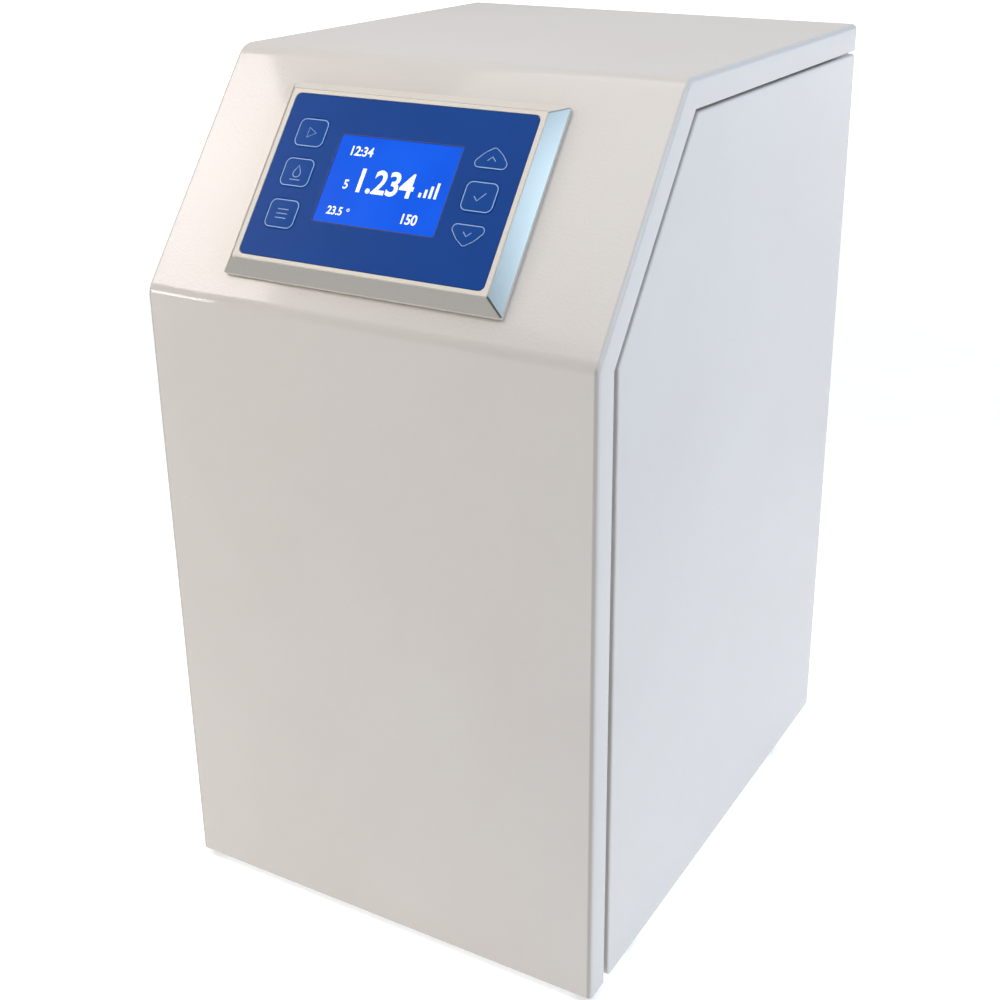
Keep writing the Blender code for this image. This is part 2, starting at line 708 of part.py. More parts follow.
def key_back():
    """The level of the keys' backs above the slope."""
    return BEZEL_HEIGHT + KEY_PROUD - KEY_THICK


def board_back():
    """The level of the key board's back above the slope."""
    return key_back() - KEY_TRAVEL - SEAT_GAP - BOARD_THICK


def key_places():
    """Each key's name, centre (u, v) and outline kind."""
    names = ("key_left_top", "key_left_middle", "key_left_bottom")
    places = [(name, LEFT_KEYS_U, v, "square") for name, v in zip(names, LEFT_KEYS_V)]
    places.append(("key_up", RIGHT_KEYS_U, UP_KEY_V, "up"))
    places.append(("key_select", RIGHT_KEYS_U, SELECT_KEY_V, "square"))
    places.append(("key_down", RIGHT_KEYS_U, DOWN_KEY_V, "down"))
    return places


def key_outline(kind, grow=0.0):
    """A rounded square, or a rounded triangle with bulged sides that points up or down."""
    if kind == "square":
        return rounded_box(KEY_WIDTH + 2 * grow, KEY_LENGTH + 2 * grow, KEY_CORNER + grow)
    radius = ARROW_CORNER + grow
    x, y = ARROW_WIDTH / 2 + grow + radius, ARROW_LENGTH / 2 + grow
    side = (ARROW_BULGE_SHARE * x, y - ARROW_BULGE_SHARE * 2 * y + ARROW_BULGE)
    corners = [(x, -y), side, (0.0, y), (-side[0], side[1]), (-x, -y)]
    radii = [radius, ARROW_BULGE_RADIUS, ARROW_TIP + grow, ARROW_BULGE_RADIUS, radius]
    if kind == "down":
        corners = [(a, -b) for a, b in reversed(corners)]
    return rounded(corners, radii, 4)


def keypad_overlay():
    """The printed membrane, open where the screen and the six keys come through."""
    outline = rounded_box(OVERLAY_WIDTH, OVERLAY_LENGTH, OVERLAY_CORNER)
    low, high = overlay_back(), overlay_back() + OVERLAY_THICK
    overlay = prism("keypad_overlay", outline, low, high, BLUE, place=bezel_place())
    openings = [(name, u, v, key_outline(kind, KEY_FIT)) for name, u, v, kind in key_places()]
    screen = rounded_box(LCD_WIDTH + 2 * KEY_FIT, LCD_LENGTH + 2 * KEY_FIT, LCD_CORNER)
    openings.append(("screen", LCD_U, LCD_V, screen))
    for name, u, v, outline in openings:
        place = slope_place() @ Matrix.Translation((u, v, 0.0))
        cutter = prism(f"{name}_opening", outline, low - OVERRUN, high + OVERRUN, BLUE, place=place)
        shape(overlay, cutter, "DIFFERENCE")
    return overlay


def key(name, u, v, kind):
    """One embossed key with a soft crown, its origin on the slope's own outward line."""
    outline = key_outline(kind)
    low, high = key_back(), key_back() + KEY_THICK
    small = 1 - 2 * KEY_CROWN / (KEY_LENGTH if kind == "square" else ARROW_LENGTH)
    crown = [(a * small, b * small) for a, b in outline]
    loops = [flat(outline, low), flat(outline, high - KEY_CROWN), flat(crown, high)]
    return loft(name, loops, BLUE, place=slope_place() @ Matrix.Translation((u, v, 0.0)))


def lcd_module():
    """The screen: a body behind the keypad with its glass standing in the keypad's window."""
    body = rounded_box(LCD_WIDTH + 2 * LCD_BODY_EDGE, LCD_LENGTH + 2 * LCD_BODY_EDGE, LCD_CORNER)
    glass = rounded_box(LCD_WIDTH, LCD_LENGTH, LCD_CORNER)
    shoulder = overlay_back() - SEAT_GAP
    levels = [
        (body, shoulder - LCD_DEPTH), (body, shoulder), (glass, shoulder),
        (glass, overlay_back() + OVERLAY_THICK - KEY_FIT),
    ]
    loops = [flat(outline, level) for outline, level in levels]
    return loft("lcd_module", loops, SCREEN, place=slope_place() @ Matrix.Translation((LCD_U, LCD_V, 0.0)))


def key_board():
    """The board under the keys, open in the middle for the screen's body."""
    fit = 2 * SEAT_GAP
    outer = rounded_box(window_width(0) - fit, window_length(0) - fit, OVERLAY_CORNER)
    body = 2 * LCD_BODY_EDGE + fit
    inner = rounded_box(
        LCD_WIDTH + body, LCD_LENGTH + body, LCD_CORNER, (LCD_U - BEZEL_U, LCD_V - BEZEL_V),
    )
    low, high = board_back(), board_back() + BOARD_THICK
    loops = [flat(outer, low), flat(outer, high), flat(inner, high), flat(inner, low)]
    return loft("key_board", loops, GREEN, ring=True, place=bezel_place())


def control_board():
    """The main board, close behind the screen's body and inside the slope's window."""
    outline = rounded_box(window_width(1) - 2 * SEAT_GAP, window_length(1) - 2 * SEAT_GAP, OVERLAY_CORNER)
    high = overlay_back() - LCD_DEPTH - 2 * SEAT_GAP
    return prism("control_board", outline, high - BOARD_THICK, high, GREEN, place=bezel_place())


def cartridge_places():
    """The front-to-back places of the cartridges, spaced by a share of the bay's free length."""
    bay = REAR_SHEET - FRONT
    free = bay - 2 * CARTRIDGE_RADIUS * CARTRIDGE_COUNT
    pitch = 2 * CARTRIDGE_RADIUS + CARTRIDGE_SPACE_SHARE * free
    middle = FRONT + bay / 2 + CARTRIDGE_ROW_OFFSET
    return [middle + pitch * (number - (CARTRIDGE_COUNT - 1) / 2) for number in range(CARTRIDGE_COUNT)]


def cartridge_head():
    """The manifold over the cartridges, held by a web and a flange on the middle plate."""
    margin = CARTRIDGE_RADIUS + HEAD_MARGIN
    places = cartridge_places()
    left, right = CARTRIDGE_X - margin, CARTRIDGE_X + margin - HEAD_MARGIN
    web = HEAD_BOTTOM + (HEAD_HEIGHT - HEAD_WEB) / 2
    face = MID_RIGHT_FACE
    outline = [
        (face, HEAD_BOTTOM - HEAD_DROP), (face + HEAD_WEB, HEAD_BOTTOM - HEAD_DROP), (face + HEAD_WEB, web),
        (left, web), (left, HEAD_BOTTOM), (right, HEAD_BOTTOM), (right, HEAD_TOP), (left, HEAD_TOP),
        (left, web + HEAD_WEB), (face, web + HEAD_WEB),
    ]
    head = prism("cartridge_head", outline, places[0] - margin, places[-1] + margin, WHITE, axis="y")
    for number, y in enumerate(places, 1):
        bore = turned(
            f"head_bore_{number}",
            [
                (CARTRIDGE_NECK + BORE_FIT, HEAD_BOTTOM - OVERRUN),
                (CARTRIDGE_NECK + BORE_FIT, neck_top() + SEAT_GAP),
            ], WHITE, place=along("z", CARTRIDGE_X, y, 0.0),
        )
        shape(head, bore, "DIFFERENCE")
    return head


def neck_top():
    """The level of the cartridges' necks inside the head."""
    return HEAD_BOTTOM - SEAT_GAP + CARTRIDGE_NECK_LENGTH


def cartridge(name, y):
    """A twist-lock cartridge: ribbed foot, long barrel, shoulder and sealing neck."""
    radius, low, high = CARTRIDGE_RADIUS, CARTRIDGE_BOTTOM, HEAD_BOTTOM - SEAT_GAP
    step = CARTRIDGE_RADIUS / 8
    profile = [
        (radius - 2 * step, low), (radius - step / 2, low + step), (radius - step / 2, low + 4 * step),
        (radius - step, low + 5 * step), (radius - step, high - 5 * step), (radius, high - 4 * step),
        (radius, high - step), (radius - step, high), (CARTRIDGE_NECK, high),
        (CARTRIDGE_NECK, high + CARTRIDGE_NECK_LENGTH / 3),
        (CARTRIDGE_NECK - step / 3, high + CARTRIDGE_NECK_LENGTH / 2),
        (CARTRIDGE_NECK, high + CARTRIDGE_NECK_LENGTH * 2 / 3), (CARTRIDGE_NECK, neck_top()),
    ]
    return turned(name, profile, WHITE, place=along("z", CARTRIDGE_X, y, 0.0))


def ro_vessel():
    """The pressure vessel of the reverse-osmosis membrane."""
    low, high = VESSEL_BOTTOM, VESSEL_BOTTOM + VESSEL_LENGTH
    step = VESSEL_RADIUS / 8
    profile = [
        (VESSEL_RADIUS - step, low), (VESSEL_RADIUS, low + step), (VESSEL_RADIUS, high - step),
        (VESSEL_RADIUS - step, high),
    ]
    return turned("ro_vessel", profile, WHITE, place=along("z", VESSEL_X, VESSEL_Y, 0.0))


def ro_cap():
    """The vessel's screwed cap."""
    low = VESSEL_BOTTOM + VESSEL_LENGTH + SEAT_GAP
    step = VESSEL_RADIUS / 8
    profile = [
        (VESSEL_CAP_RADIUS, low), (VESSEL_CAP_RADIUS, low + VESSEL_CAP_HEIGHT - step),
        (VESSEL_CAP_RADIUS - step, low + VESSEL_CAP_HEIGHT),
    ]
    return turned("ro_cap", profile, WHITE, place=along("z", VESSEL_X, VESSEL_Y, 0.0))


def ro_clip(name, level):
    """A spring clip on the middle plate that grips most of the vessel's girth."""
    inner = VESSEL_RADIUS + SEAT_GAP
    outer = inner + CLIP_WALL
    start = math.degrees(math.asin(CLIP_HALF / outer))
    steps = 32

    def arc(radius, first, last):
        angles = [math.radians(first + (last - first) * i / steps) for i in range(steps + 1)]
        return [(VESSEL_X + radius * math.cos(a), VESSEL_Y + radius * math.sin(a)) for a in angles]

    outline = [(MID_FACE, VESSEL_Y - CLIP_HALF), (MID_FACE, VESSEL_Y + CLIP_HALF)]
    outline += arc(outer, start, CLIP_ARC) + arc(inner, CLIP_ARC, -CLIP_ARC) + arc(outer, -CLIP_ARC, -start)
    return prism(name, outline, level, level + CLIP_HEIGHT, BLACK)


def pump_motor():
    """The motor's can, open at the front where the pump head closes it."""
    place = along("y", PUMP_X, MOTOR_FRONT + SEAT_GAP, PUMP_Z)
    inner = MOTOR_RADIUS - MOTOR_WALL
    profile = [
        (inner, MOTOR_LENGTH), (MOTOR_RADIUS, MOTOR_LENGTH - MOTOR_WALL), (MOTOR_RADIUS, 0.0), (inner, 0.0),
        (inner, MOTOR_LENGTH - 2 * MOTOR_WALL),
    ]
    return turned("pump_motor", profile, GREY, place=place)


def pump_rotor():
    """The motor's rotor on its shaft, which ends in the pump head."""
    space = MOTOR_LENGTH - 2 * MOTOR_WALL
    start = (space - ROTOR_LENGTH) / 2
    profile = [
        (ROTOR_SHAFT, -PUMP_HEAD_LENGTH / 4), (ROTOR_SHAFT, start), (ROTOR_RADIUS, start),
        (ROTOR_RADIUS, start + ROTOR_LENGTH), (ROTOR_SHAFT, start + ROTOR_LENGTH),
        (ROTOR_SHAFT, space - SEAT_GAP),
    ]
    return turned("pump_rotor", profile, STEEL, place=along("y", PUMP_X, MOTOR_FRONT + SEAT_GAP, PUMP_Z))


def pump_head():
    """The diaphragm block, with the hole that the rotor's shaft runs in."""
    outline = rounded_box(PUMP_HEAD_WIDTH, PUMP_HEAD_WIDTH, EDGE_RADIUS)
    hole = circle(ROTOR_SHAFT + SEAT_GAP, len(outline), start=-math.pi / 4)
    deep = PUMP_HEAD_LENGTH / 4 + SEAT_GAP
    loops = [flat(outline, -PUMP_HEAD_LENGTH), flat(outline, 0.0), flat(hole, 0.0), flat(hole, -deep)]
    return loft("pump_head", loops, BLACK, place=along("y", PUMP_X, MOTOR_FRONT, PUMP_Z))


def pump_cradle():
    """A rubber block between the pan and the motor's can."""
    radius = MOTOR_RADIUS + SEAT_GAP
    half = CRADLE_WIDTH / 2
    reach = math.asin(min(CRADLE_WRAP_SHARE, (half - MOTOR_WALL) / radius))
    arc = [
        (PUMP_X + radius * math.sin(reach * s / 6), PUMP_Z - radius * math.cos(reach * s / 6))
        for s in range(6, -7, -1)
    ]
    low, high = PAN_TOP + SEAT_GAP, arc[0][1]
    left, right = PUMP_X - half, PUMP_X + half
    outline = [(left, low), (right, low), (right, high)] + arc + [(left, high)]
    y = MOTOR_FRONT + MOTOR_LENGTH / 2 - CRADLE_LENGTH / 2
    return prism("pump_cradle", outline, y, y + CRADLE_LENGTH, RUBBER, axis="y")


def power_supply():
    """The supply's sheet cover, open towards the middle plate that it is screwed to."""
    depth, length, height = SUPPLY_SIZE
    centre = (SUPPLY_Y, SUPPLY_BOTTOM + height / 2)
    outer = rounded_box(length, height, EDGE_RADIUS, centre)
    inner = rounded_box(length - 2 * SHEET, height - 2 * SHEET, EDGE_RADIUS - SHEET, centre)
    far = MID_FACE - depth
    levels = [(outer, far), (outer, MID_FACE), (inner, MID_FACE), (inner, far + SHEET)]
    loops = [flat(outline, x, "x") for outline, x in levels]
    return loft("power_supply", loops, STEEL)


def valve_x():
    """The middle of the valves across the case."""
    return MID_FACE - VALVE_REACH / 2


def valve_body(name, level):
    """A valve block with its coil on top, bored for the plunger."""
    foot = rounded_box(VALVE_REACH, VALVE_WIDTH, EDGE_RADIUS)
    coil = rounded_box(VALVE_COIL, VALVE_COIL, EDGE_RADIUS)
    bore = circle(PLUNGER_RADIUS + BORE_FIT, len(foot), start=-math.pi / 4)
    top = VALVE_BLOCK + VALVE_COIL_HEIGHT
    levels = [
        (foot, 0.0), (foot, VALVE_BLOCK), (coil, VALVE_BLOCK), (coil, top), (bore, top),
        (bore, top - PLUNGER_LENGTH - SEAT_GAP),
    ]
    loops = [flat(outline, height) for outline, height in levels]
    return loft(name, loops, BRASS, place=along("z", valve_x(), VALVE_Y, level))


def valve_plunger(name, level):
    """The iron plunger, its round head just above the coil when the valve is shut."""
    top = level + VALVE_BLOCK + VALVE_COIL_HEIGHT
    profile = [
        (PLUNGER_RADIUS, -PLUNGER_LENGTH), (PLUNGER_RADIUS, SEAT_GAP), (PLUNGER_KNOB, SEAT_GAP),
        (PLUNGER_KNOB, PLUNGER_RADIUS), (PLUNGER_RADIUS, PLUNGER_KNOB),
    ]
    return turned(name, profile, STEEL, count=16, place=along("z", valve_x(), VALVE_Y, top))


def pressure_switch():
    """A round switch standing off the middle plate."""
    step = SWITCH_RADIUS / 4
    profile = [
        (SWITCH_RADIUS, 0.0), (SWITCH_RADIUS, SWITCH_LENGTH * 2 / 3),
        (SWITCH_RADIUS - step, SWITCH_LENGTH * 3 / 4), (SWITCH_RADIUS - 2 * step, SWITCH_LENGTH),
    ]
    return turned("pressure_switch", profile, BLACK, place=along("-x", MID_FACE, SWITCH_Y, SWITCH_Z))


def conductivity_cell():
    """The cell on top of the head, over the last cartridge."""
    nut = CELL_RADIUS * CELL_NUT_SHARE
    profile = [
        (nut, 0.0), (nut, CELL_LENGTH / 4), (CELL_RADIUS, CELL_LENGTH / 4),
        (CELL_RADIUS, CELL_LENGTH * 3 / 4), (CELL_RADIUS / 2, CELL_LENGTH),
    ]
    place = along("z", CARTRIDGE_X, cartridge_places()[-1], HEAD_TOP + SEAT_GAP)
    return turned("conductivity_cell", profile, BLACK, place=place)


def inlet_body_width():
    """The width of the inlet's body behind its flange."""
    return INLET_WIDTH - 2 * INLET_EDGE


def inlet_body_height():
    """The height of the inlet's body behind its flange."""
    return INLET_HEIGHT - 2 * INLET_EDGE


def inlet_face():
    """The outer face of the inlet's flange."""
    return REAR_SHEET + SHEET + SEAT_GAP + INLET_FLANGE


def power_inlet():
    """A flanged inlet with an appliance socket, a fuse slot and a rocker's well."""
    face = inlet_face()
    centre = (INLET_X, INLET_Z)
    body = rounded_box(inlet_body_width(), inlet_body_height(), EDGE_RADIUS, centre)
    flange = rounded_box(INLET_WIDTH, INLET_HEIGHT, EDGE_RADIUS, centre)
    loops = [
        flat(body, face - INLET_DEPTH, "y"), flat(body, face - INLET_FLANGE, "y"),
        flat(flange, face - INLET_FLANGE, "y"), flat(flange, face, "y"),
    ]
    inlet = loft("power_inlet", loops, BLACK)
    fit = 2 * SEAT_GAP
    wells = [
        ("socket", SOCKET_WIDTH, SOCKET_HEIGHT, -SOCKET_DROP, SOCKET_DEPTH),
        ("fuse", DRAWER_WIDTH + fit, DRAWER_HEIGHT + fit, 0.0, DRAWER_DEPTH + SEAT_GAP),
        ("rocker", ROCKER_WIDTH + fit, 2 * ROCKER_RADIUS + fit, ROCKER_RISE, rocker_depth()),
    ]
    for name, width, height, rise, depth in wells:
        outline = rounded_box(width, height, EDGE_RADIUS / 3, (INLET_X, INLET_Z + rise), steps=2)
        well = prism(f"{name}_well", outline, face - depth, face + OVERRUN, BLACK, axis="y")
        shape(inlet, well, "DIFFERENCE")
    wide, deep, high = PIN_SIZE
    floor = face - SOCKET_DEPTH
    for number, (x, z) in enumerate(((-PIN_SPREAD, -high), (0.0, 0.0), (PIN_SPREAD, -high)), 1):
        left, low = INLET_X + x - wide / 2, INLET_Z - SOCKET_DROP + z
        corners = (left, floor - WELD, low), (left + wide, floor + deep, low + high)
        shape(inlet, block(f"socket_pin_{number}", *corners, STEEL), "UNION")
    return inlet


def rocker_depth():
    """How deep the rocker's well goes below the inlet's face."""
    return ROCKER_SINK + ROCKER_RADIUS + SEAT_GAP


def power_rocker():
    """A rocker whose round back turns in its well and whose face has two flats."""
    steps = 8
    radius = ROCKER_RADIUS
    tilt = math.radians(ROCKER_ANGLE)
    back = [
        (-radius * math.sin(math.pi * i / steps), -radius * math.cos(math.pi * i / steps))
        for i in range(steps + 1)
    ]
    rise, dip = [ROCKER_SINK * share for share in ROCKER_FACE_SHARES]
    reach = radius * ROCKER_REACH_SHARE
    outline = back + [(rise, reach), (dip, 0.0), (rise, -reach)]
    half = ROCKER_WIDTH / 2
    place = Matrix.Translation((INLET_X, inlet_face() - ROCKER_SINK, INLET_Z + ROCKER_RISE))
    place = place @ Matrix.Rotation(tilt, 4, "X")
    return prism("power_rocker", outline, -half, half, BLACK, axis="x", place=place)


def fuse_drawer():
    """The little drawer that holds the fuses."""
    outline = rounded_box(DRAWER_WIDTH, DRAWER_HEIGHT, EDGE_RADIUS / 3, (INLET_X, INLET_Z), steps=2)
    face = inlet_face()
    return prism("fuse_drawer", outline, face - DRAWER_DEPTH, face + SEAT_GAP, BLACK, axis="y")


def port(name, x):
    """A bulkhead push-fit: flange and body outside, barrel and nut inside, bored for the collet and hose."""
    place = along("y", x, REAR_SHEET + SHEET, PORT_LEVEL)
    nut = -SHEET - SEAT_GAP
    well, well_floor = COLLET_RADIUS + SEAT_GAP, PORT_OUT - collet_well()
    profile = [
        (PORT_BARREL, -PORT_IN), (PORT_BARREL, nut - PORT_FLANGE), (PORT_RADIUS, nut - PORT_FLANGE),
        (PORT_RADIUS, nut), (PORT_BARREL, nut), (PORT_BARREL, SEAT_GAP),
        (PORT_FLANGE_RADIUS, SEAT_GAP), (PORT_FLANGE_RADIUS, PORT_FLANGE), (PORT_RADIUS, PORT_FLANGE),
        (PORT_RADIUS, PORT_OUT), (well, PORT_OUT), (well, well_floor), (COLLET_BORE, well_floor),
        (COLLET_BORE, SEAT_GAP),
    ]
    return turned(name, profile, WHITE, count=16, place=place)


def collet_well():
    """The depth of the port's wide bore."""
    return COLLET_LENGTH - COLLET_PROUD + COLLET_TRAVEL + SEAT_GAP


def collet(name, x):
    """The release collet that grips the tube."""
    y = REAR_SHEET + SHEET + PORT_OUT + COLLET_PROUD - COLLET_LENGTH
    profile = [(COLLET_RADIUS, 0.0), (COLLET_RADIUS, COLLET_LENGTH)]
    profile += [(COLLET_BORE, level) for _, level in reversed(profile)]
    return turned(name, profile, GREY, count=16, ring=True, place=along("y", x, y, PORT_LEVEL))


def smooth_run(points, pitch):
    """A smooth curve through the points, its first and last stretches straight, read at about one pitch."""
    knots = [Vector(point) for point in points]
    runs = [(ahead - here).normalized() for here, ahead in zip(knots, knots[1:])]
    headings = [runs[0]] + [(back + ahead).normalized() for back, ahead in zip(runs, runs[1:])] + [runs[-1]]
    headings[1], headings[-2] = runs[0], runs[-1]
    result = []
    for i in range(len(knots) - 1):
        start, end = knots[i], knots[i + 1]
        length = (end - start).length
        leave, arrive = headings[i] * length, headings[i + 1] * length
        steps = max(1, round(length / pitch))
        for step in range(steps):
            t = step / steps
            result.append(
                start * (2 * t ** 3 - 3 * t ** 2 + 1) + leave * (t ** 3 - 2 * t ** 2 + t)
                + end * (3 * t ** 2 - 2 * t ** 3) + arrive * (t ** 3 - t ** 2)
            )
    result.append(knots[-1])
    return result


def hose(name, points):
    """A hose of the ports' size along a smooth run."""
    curve = bpy.data.curves.new(name, "CURVE")
    curve.dimensions = "3D"
    curve.bevel_depth = HOSE_RADIUS
    curve.bevel_resolution = 2
    curve.use_fill_caps = True
    run = smooth_run(points, HOSE_RADIUS * 4)
    spline = curve.splines.new("POLY")
    spline.points.add(len(run) - 1)
    for target, point in zip(spline.points, run):
        target.co = (*point, 1.0)
    curve.materials.append(HOSE)
    obj = bpy.data.objects.new(name, curve)
    bpy.context.scene.collection.objects.link(obj)
    return obj


def hoses():
    """The seven internal hoses, each from fitting to fitting."""
    gap = SEAT_GAP
    bend = HOSE_RADIUS * 6
    port_y = REAR_SHEET + SHEET - PORT_IN - gap
    head_top = HEAD_TOP + gap
    valve_left = valve_x() - VALVE_REACH / 2 - gap
    valve_front = VALVE_Y - VALVE_WIDTH / 2 - gap
    inlet_level, flush_level = [level + VALVE_BLOCK / 2 for level in VALVE_LEVELS]
    pump_top = PUMP_Z + PUMP_HEAD_WIDTH / 2 + gap
    pump_y = MOTOR_FRONT - PUMP_HEAD_LENGTH / 2
    pump_front = MOTOR_FRONT - PUMP_HEAD_LENGTH - gap
    feed, drain, product = (PORT_PLACES[name] for name in ("feed", "drain", "product"))
    vessel_left = VESSEL_X - VESSEL_RADIUS - gap
    low = VESSEL_BOTTOM + bend
    first_y, last_y = cartridge_places()[0], cartridge_places()[-1]
    head_x = CARTRIDGE_X - bend
    head_rear = last_y + CARTRIDGE_RADIUS + HEAD_MARGIN + 2 * HOSE_RADIUS
    hose("feed_hose", [
        (feed, port_y, PORT_LEVEL), (feed, port_y - bend / 2, PORT_LEVEL),
        (feed, port_y - 1.5 * bend, PORT_LEVEL + bend),
        (valve_left - 2.5 * bend, VALVE_Y, inlet_level - bend / 2), (valve_left - bend, VALVE_Y, inlet_level),
        (valve_left, VALVE_Y, inlet_level),
    ])
    hose("pump_hose", [
        (valve_x(), valve_front, inlet_level), (valve_x(), valve_front - bend, inlet_level),
        (valve_x() - bend, MOTOR_FRONT, inlet_level - bend), (PUMP_X + bend, pump_y, pump_top + 1.6 * bend),
        (PUMP_X, pump_y, pump_top + 0.8 * bend), (PUMP_X, pump_y, pump_top),
    ])
    hose("membrane_hose", [
        (PUMP_X, pump_front, PUMP_Z), (PUMP_X, pump_front - bend, PUMP_Z),
        (vessel_left - 1.2 * bend, VESSEL_Y + 0.8 * bend, low), (vessel_left - 0.9 * bend, VESSEL_Y, low),
        (vessel_left, VESSEL_Y, low),
    ])
    cap_rise = VESSEL_CAP_TOP + bend
    hose("permeate_hose", [
        (VESSEL_X, VESSEL_Y, VESSEL_CAP_TOP + gap), (VESSEL_X, VESSEL_Y, cap_rise),
        (VESSEL_X + bend, VESSEL_Y + bend, cap_rise + PERMEATE_CLIMB_SHARE * (HOSE_WINDOW_Z - cap_rise)),
        (MID_PLATE_X, HOSE_WINDOW_Y, HOSE_WINDOW_Z),
        (head_x - bend, HOSE_WINDOW_Y, HOSE_WINDOW_Z + bend / 2),
        (head_x, first_y + bend / 2, head_top + bend),
        (head_x, first_y, head_top + bend / 2), (head_x, first_y, head_top),
    ])
    hose("product_hose", [
        (head_x, last_y, head_top), (head_x, last_y, head_top + bend / 2),
        (head_x - bend, last_y + bend, head_top + bend), (product, head_rear, head_top + bend / 2),
        (product, head_rear, HEAD_BOTTOM - bend / 2), (product, port_y - bend, HEAD_BOTTOM - 4 * bend),
        (product, port_y - 1.3 * bend, PORT_LEVEL + bend), (product, port_y - bend / 2, PORT_LEVEL),
        (product, port_y, PORT_LEVEL),
    ])
    cap_side = VESSEL_Y + VESSEL_CAP_RADIUS + gap
    cap_level = VESSEL_CAP_TOP - VESSEL_CAP_HEIGHT / 2
    hose("reject_hose", [
        (VESSEL_X, cap_side, cap_level), (VESSEL_X, cap_side + bend, cap_level),
        (VESSEL_X, MOTOR_FRONT - bend, cap_level - bend), (valve_x(), valve_front - bend, flush_level),
        (valve_x(), valve_front, flush_level),
    ])
    hose("drain_hose", [
        (valve_left, VALVE_Y, flush_level), (valve_left - bend, VALVE_Y, flush_level),
        (drain, VALVE_Y + bend / 2, flush_level - 2 * bend), (drain, port_y - 1.3 * bend, PORT_LEVEL + bend),
        (drain, port_y - bend / 2, PORT_LEVEL), (drain, port_y, PORT_LEVEL),
    ])


def build():
    """Make every piece."""
    front_top_shell()
    base_pan()
    rear_panel()
    mid_plate()
    for sign, side in ((1, "right"), (-1, "left")):
        side_panel(side, sign)
        for place, y in zip(("front", "rear"), CATCH_PLACES):
            panel_catch(f"panel_catch_{side}_{place}", sign, y)
        for place, y in (("front", FRONT + FOOT_FRONT_INSET), ("rear", REAR - FOOT_REAR_INSET)):
            foot(f"foot_{side}_{place}", sign, y)
    display_bezel()
    keypad_overlay()
    for name, u, v, kind in key_places():
        key(name, u, v, kind)
    lcd_module()
    key_board()
    control_board()
    cartridge_head()
    for name, y in zip(("prefilter_cartridge", "ion_cartridge", "polishing_cartridge"), cartridge_places()):
        cartridge(name, y)
    ro_vessel()
    ro_cap()
    for name, share in zip(("ro_clip_lower", "ro_clip_upper"), CLIP_SHARES):
        ro_clip(name, VESSEL_BOTTOM + VESSEL_LENGTH * share)
    pump_motor()
    pump_rotor()
    pump_head()
    pump_cradle()
    power_supply()
    for name, level in zip(("inlet", "flush"), VALVE_LEVELS):
        valve_body(f"{name}_valve_body", level)
        valve_plunger(f"{name}_valve_plunger", level)
    pressure_switch()
    conductivity_cell()
    power_inlet()
    power_rocker()
    fuse_drawer()
    for name, x in PORT_PLACES.items():
        port(f"{name}_port", x)
        collet(f"{name}_collet", x)
    hoses()


build()
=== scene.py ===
"""Looks of the bench-top water purification system: finishes, fine meshes, light and camera."""

import math

import bmesh
import bpy
from mathutils import Matrix, Vector


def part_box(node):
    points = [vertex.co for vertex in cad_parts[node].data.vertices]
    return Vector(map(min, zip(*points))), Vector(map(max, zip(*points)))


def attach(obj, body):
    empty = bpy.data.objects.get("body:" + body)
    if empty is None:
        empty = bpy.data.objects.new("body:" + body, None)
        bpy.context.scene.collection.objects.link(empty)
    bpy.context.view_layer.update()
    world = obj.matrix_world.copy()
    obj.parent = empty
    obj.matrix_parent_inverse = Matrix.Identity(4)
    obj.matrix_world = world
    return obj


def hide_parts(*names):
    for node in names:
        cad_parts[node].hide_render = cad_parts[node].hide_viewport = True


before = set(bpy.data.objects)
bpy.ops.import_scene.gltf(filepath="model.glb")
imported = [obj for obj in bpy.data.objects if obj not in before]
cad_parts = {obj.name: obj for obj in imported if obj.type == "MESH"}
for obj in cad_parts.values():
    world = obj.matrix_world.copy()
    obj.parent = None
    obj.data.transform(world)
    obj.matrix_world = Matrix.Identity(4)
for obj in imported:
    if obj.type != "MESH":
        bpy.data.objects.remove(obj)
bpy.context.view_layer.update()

MM = 0.001
CREASE = 35.0
PURE_WHITE = (1.0, 1.0, 1.0, 1.0)

# Places read from the frame
SHELL_LOW, SHELL_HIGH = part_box("front_top_shell")
REAR_LOW, REAR_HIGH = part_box("rear_panel")
SIDE = SHELL_HIGH[0]
FRONT, REAR = SHELL_LOW[1], SHELL_HIGH[1]
BOTTOM, TOP = SHELL_LOW[2], SHELL_HIGH[2]
REAR_SHEET = REAR_LOW[1]
CHASSIS_SIDE = REAR_HIGH[0]

# Shape of the case, as in the model
BEND = BOTTOM + 386 * MM
SLOPE_RUN = 98 * MM
SLOPE_ANGLE = math.atan2(TOP - BEND, SLOPE_RUN)
SHEET = 1.5 * MM
PANEL_SHEET = 1.2 * MM
SEAT_GAP = 0.3 * MM
BEND_RADIUS = 14 * MM
EDGE_RADIUS = 3 * MM
FLANGE_DEPTH = 17.5 * MM
LIP_WIDTH = 12 * MM
PANEL_GAPS = (4.5 * MM, 3.0 * MM, 1.3 * MM)
PANEL_FOLD = 10 * MM
PANEL_CORNER = 4 * MM
TIGHT_CORNER = 0.4 * MM
PANEL_EDGE = 1.1 * MM
SHEET_END = 1.1 * MM
LIP_FOLD = 1.5 * MM
REAR_ROLL = 3 * MM
REAR_EDGE = 1.5 * MM
REAR_FOLD = 2.5 * MM
FOLD_LEAST = 0.3 * MM
REACH = 10 * MM

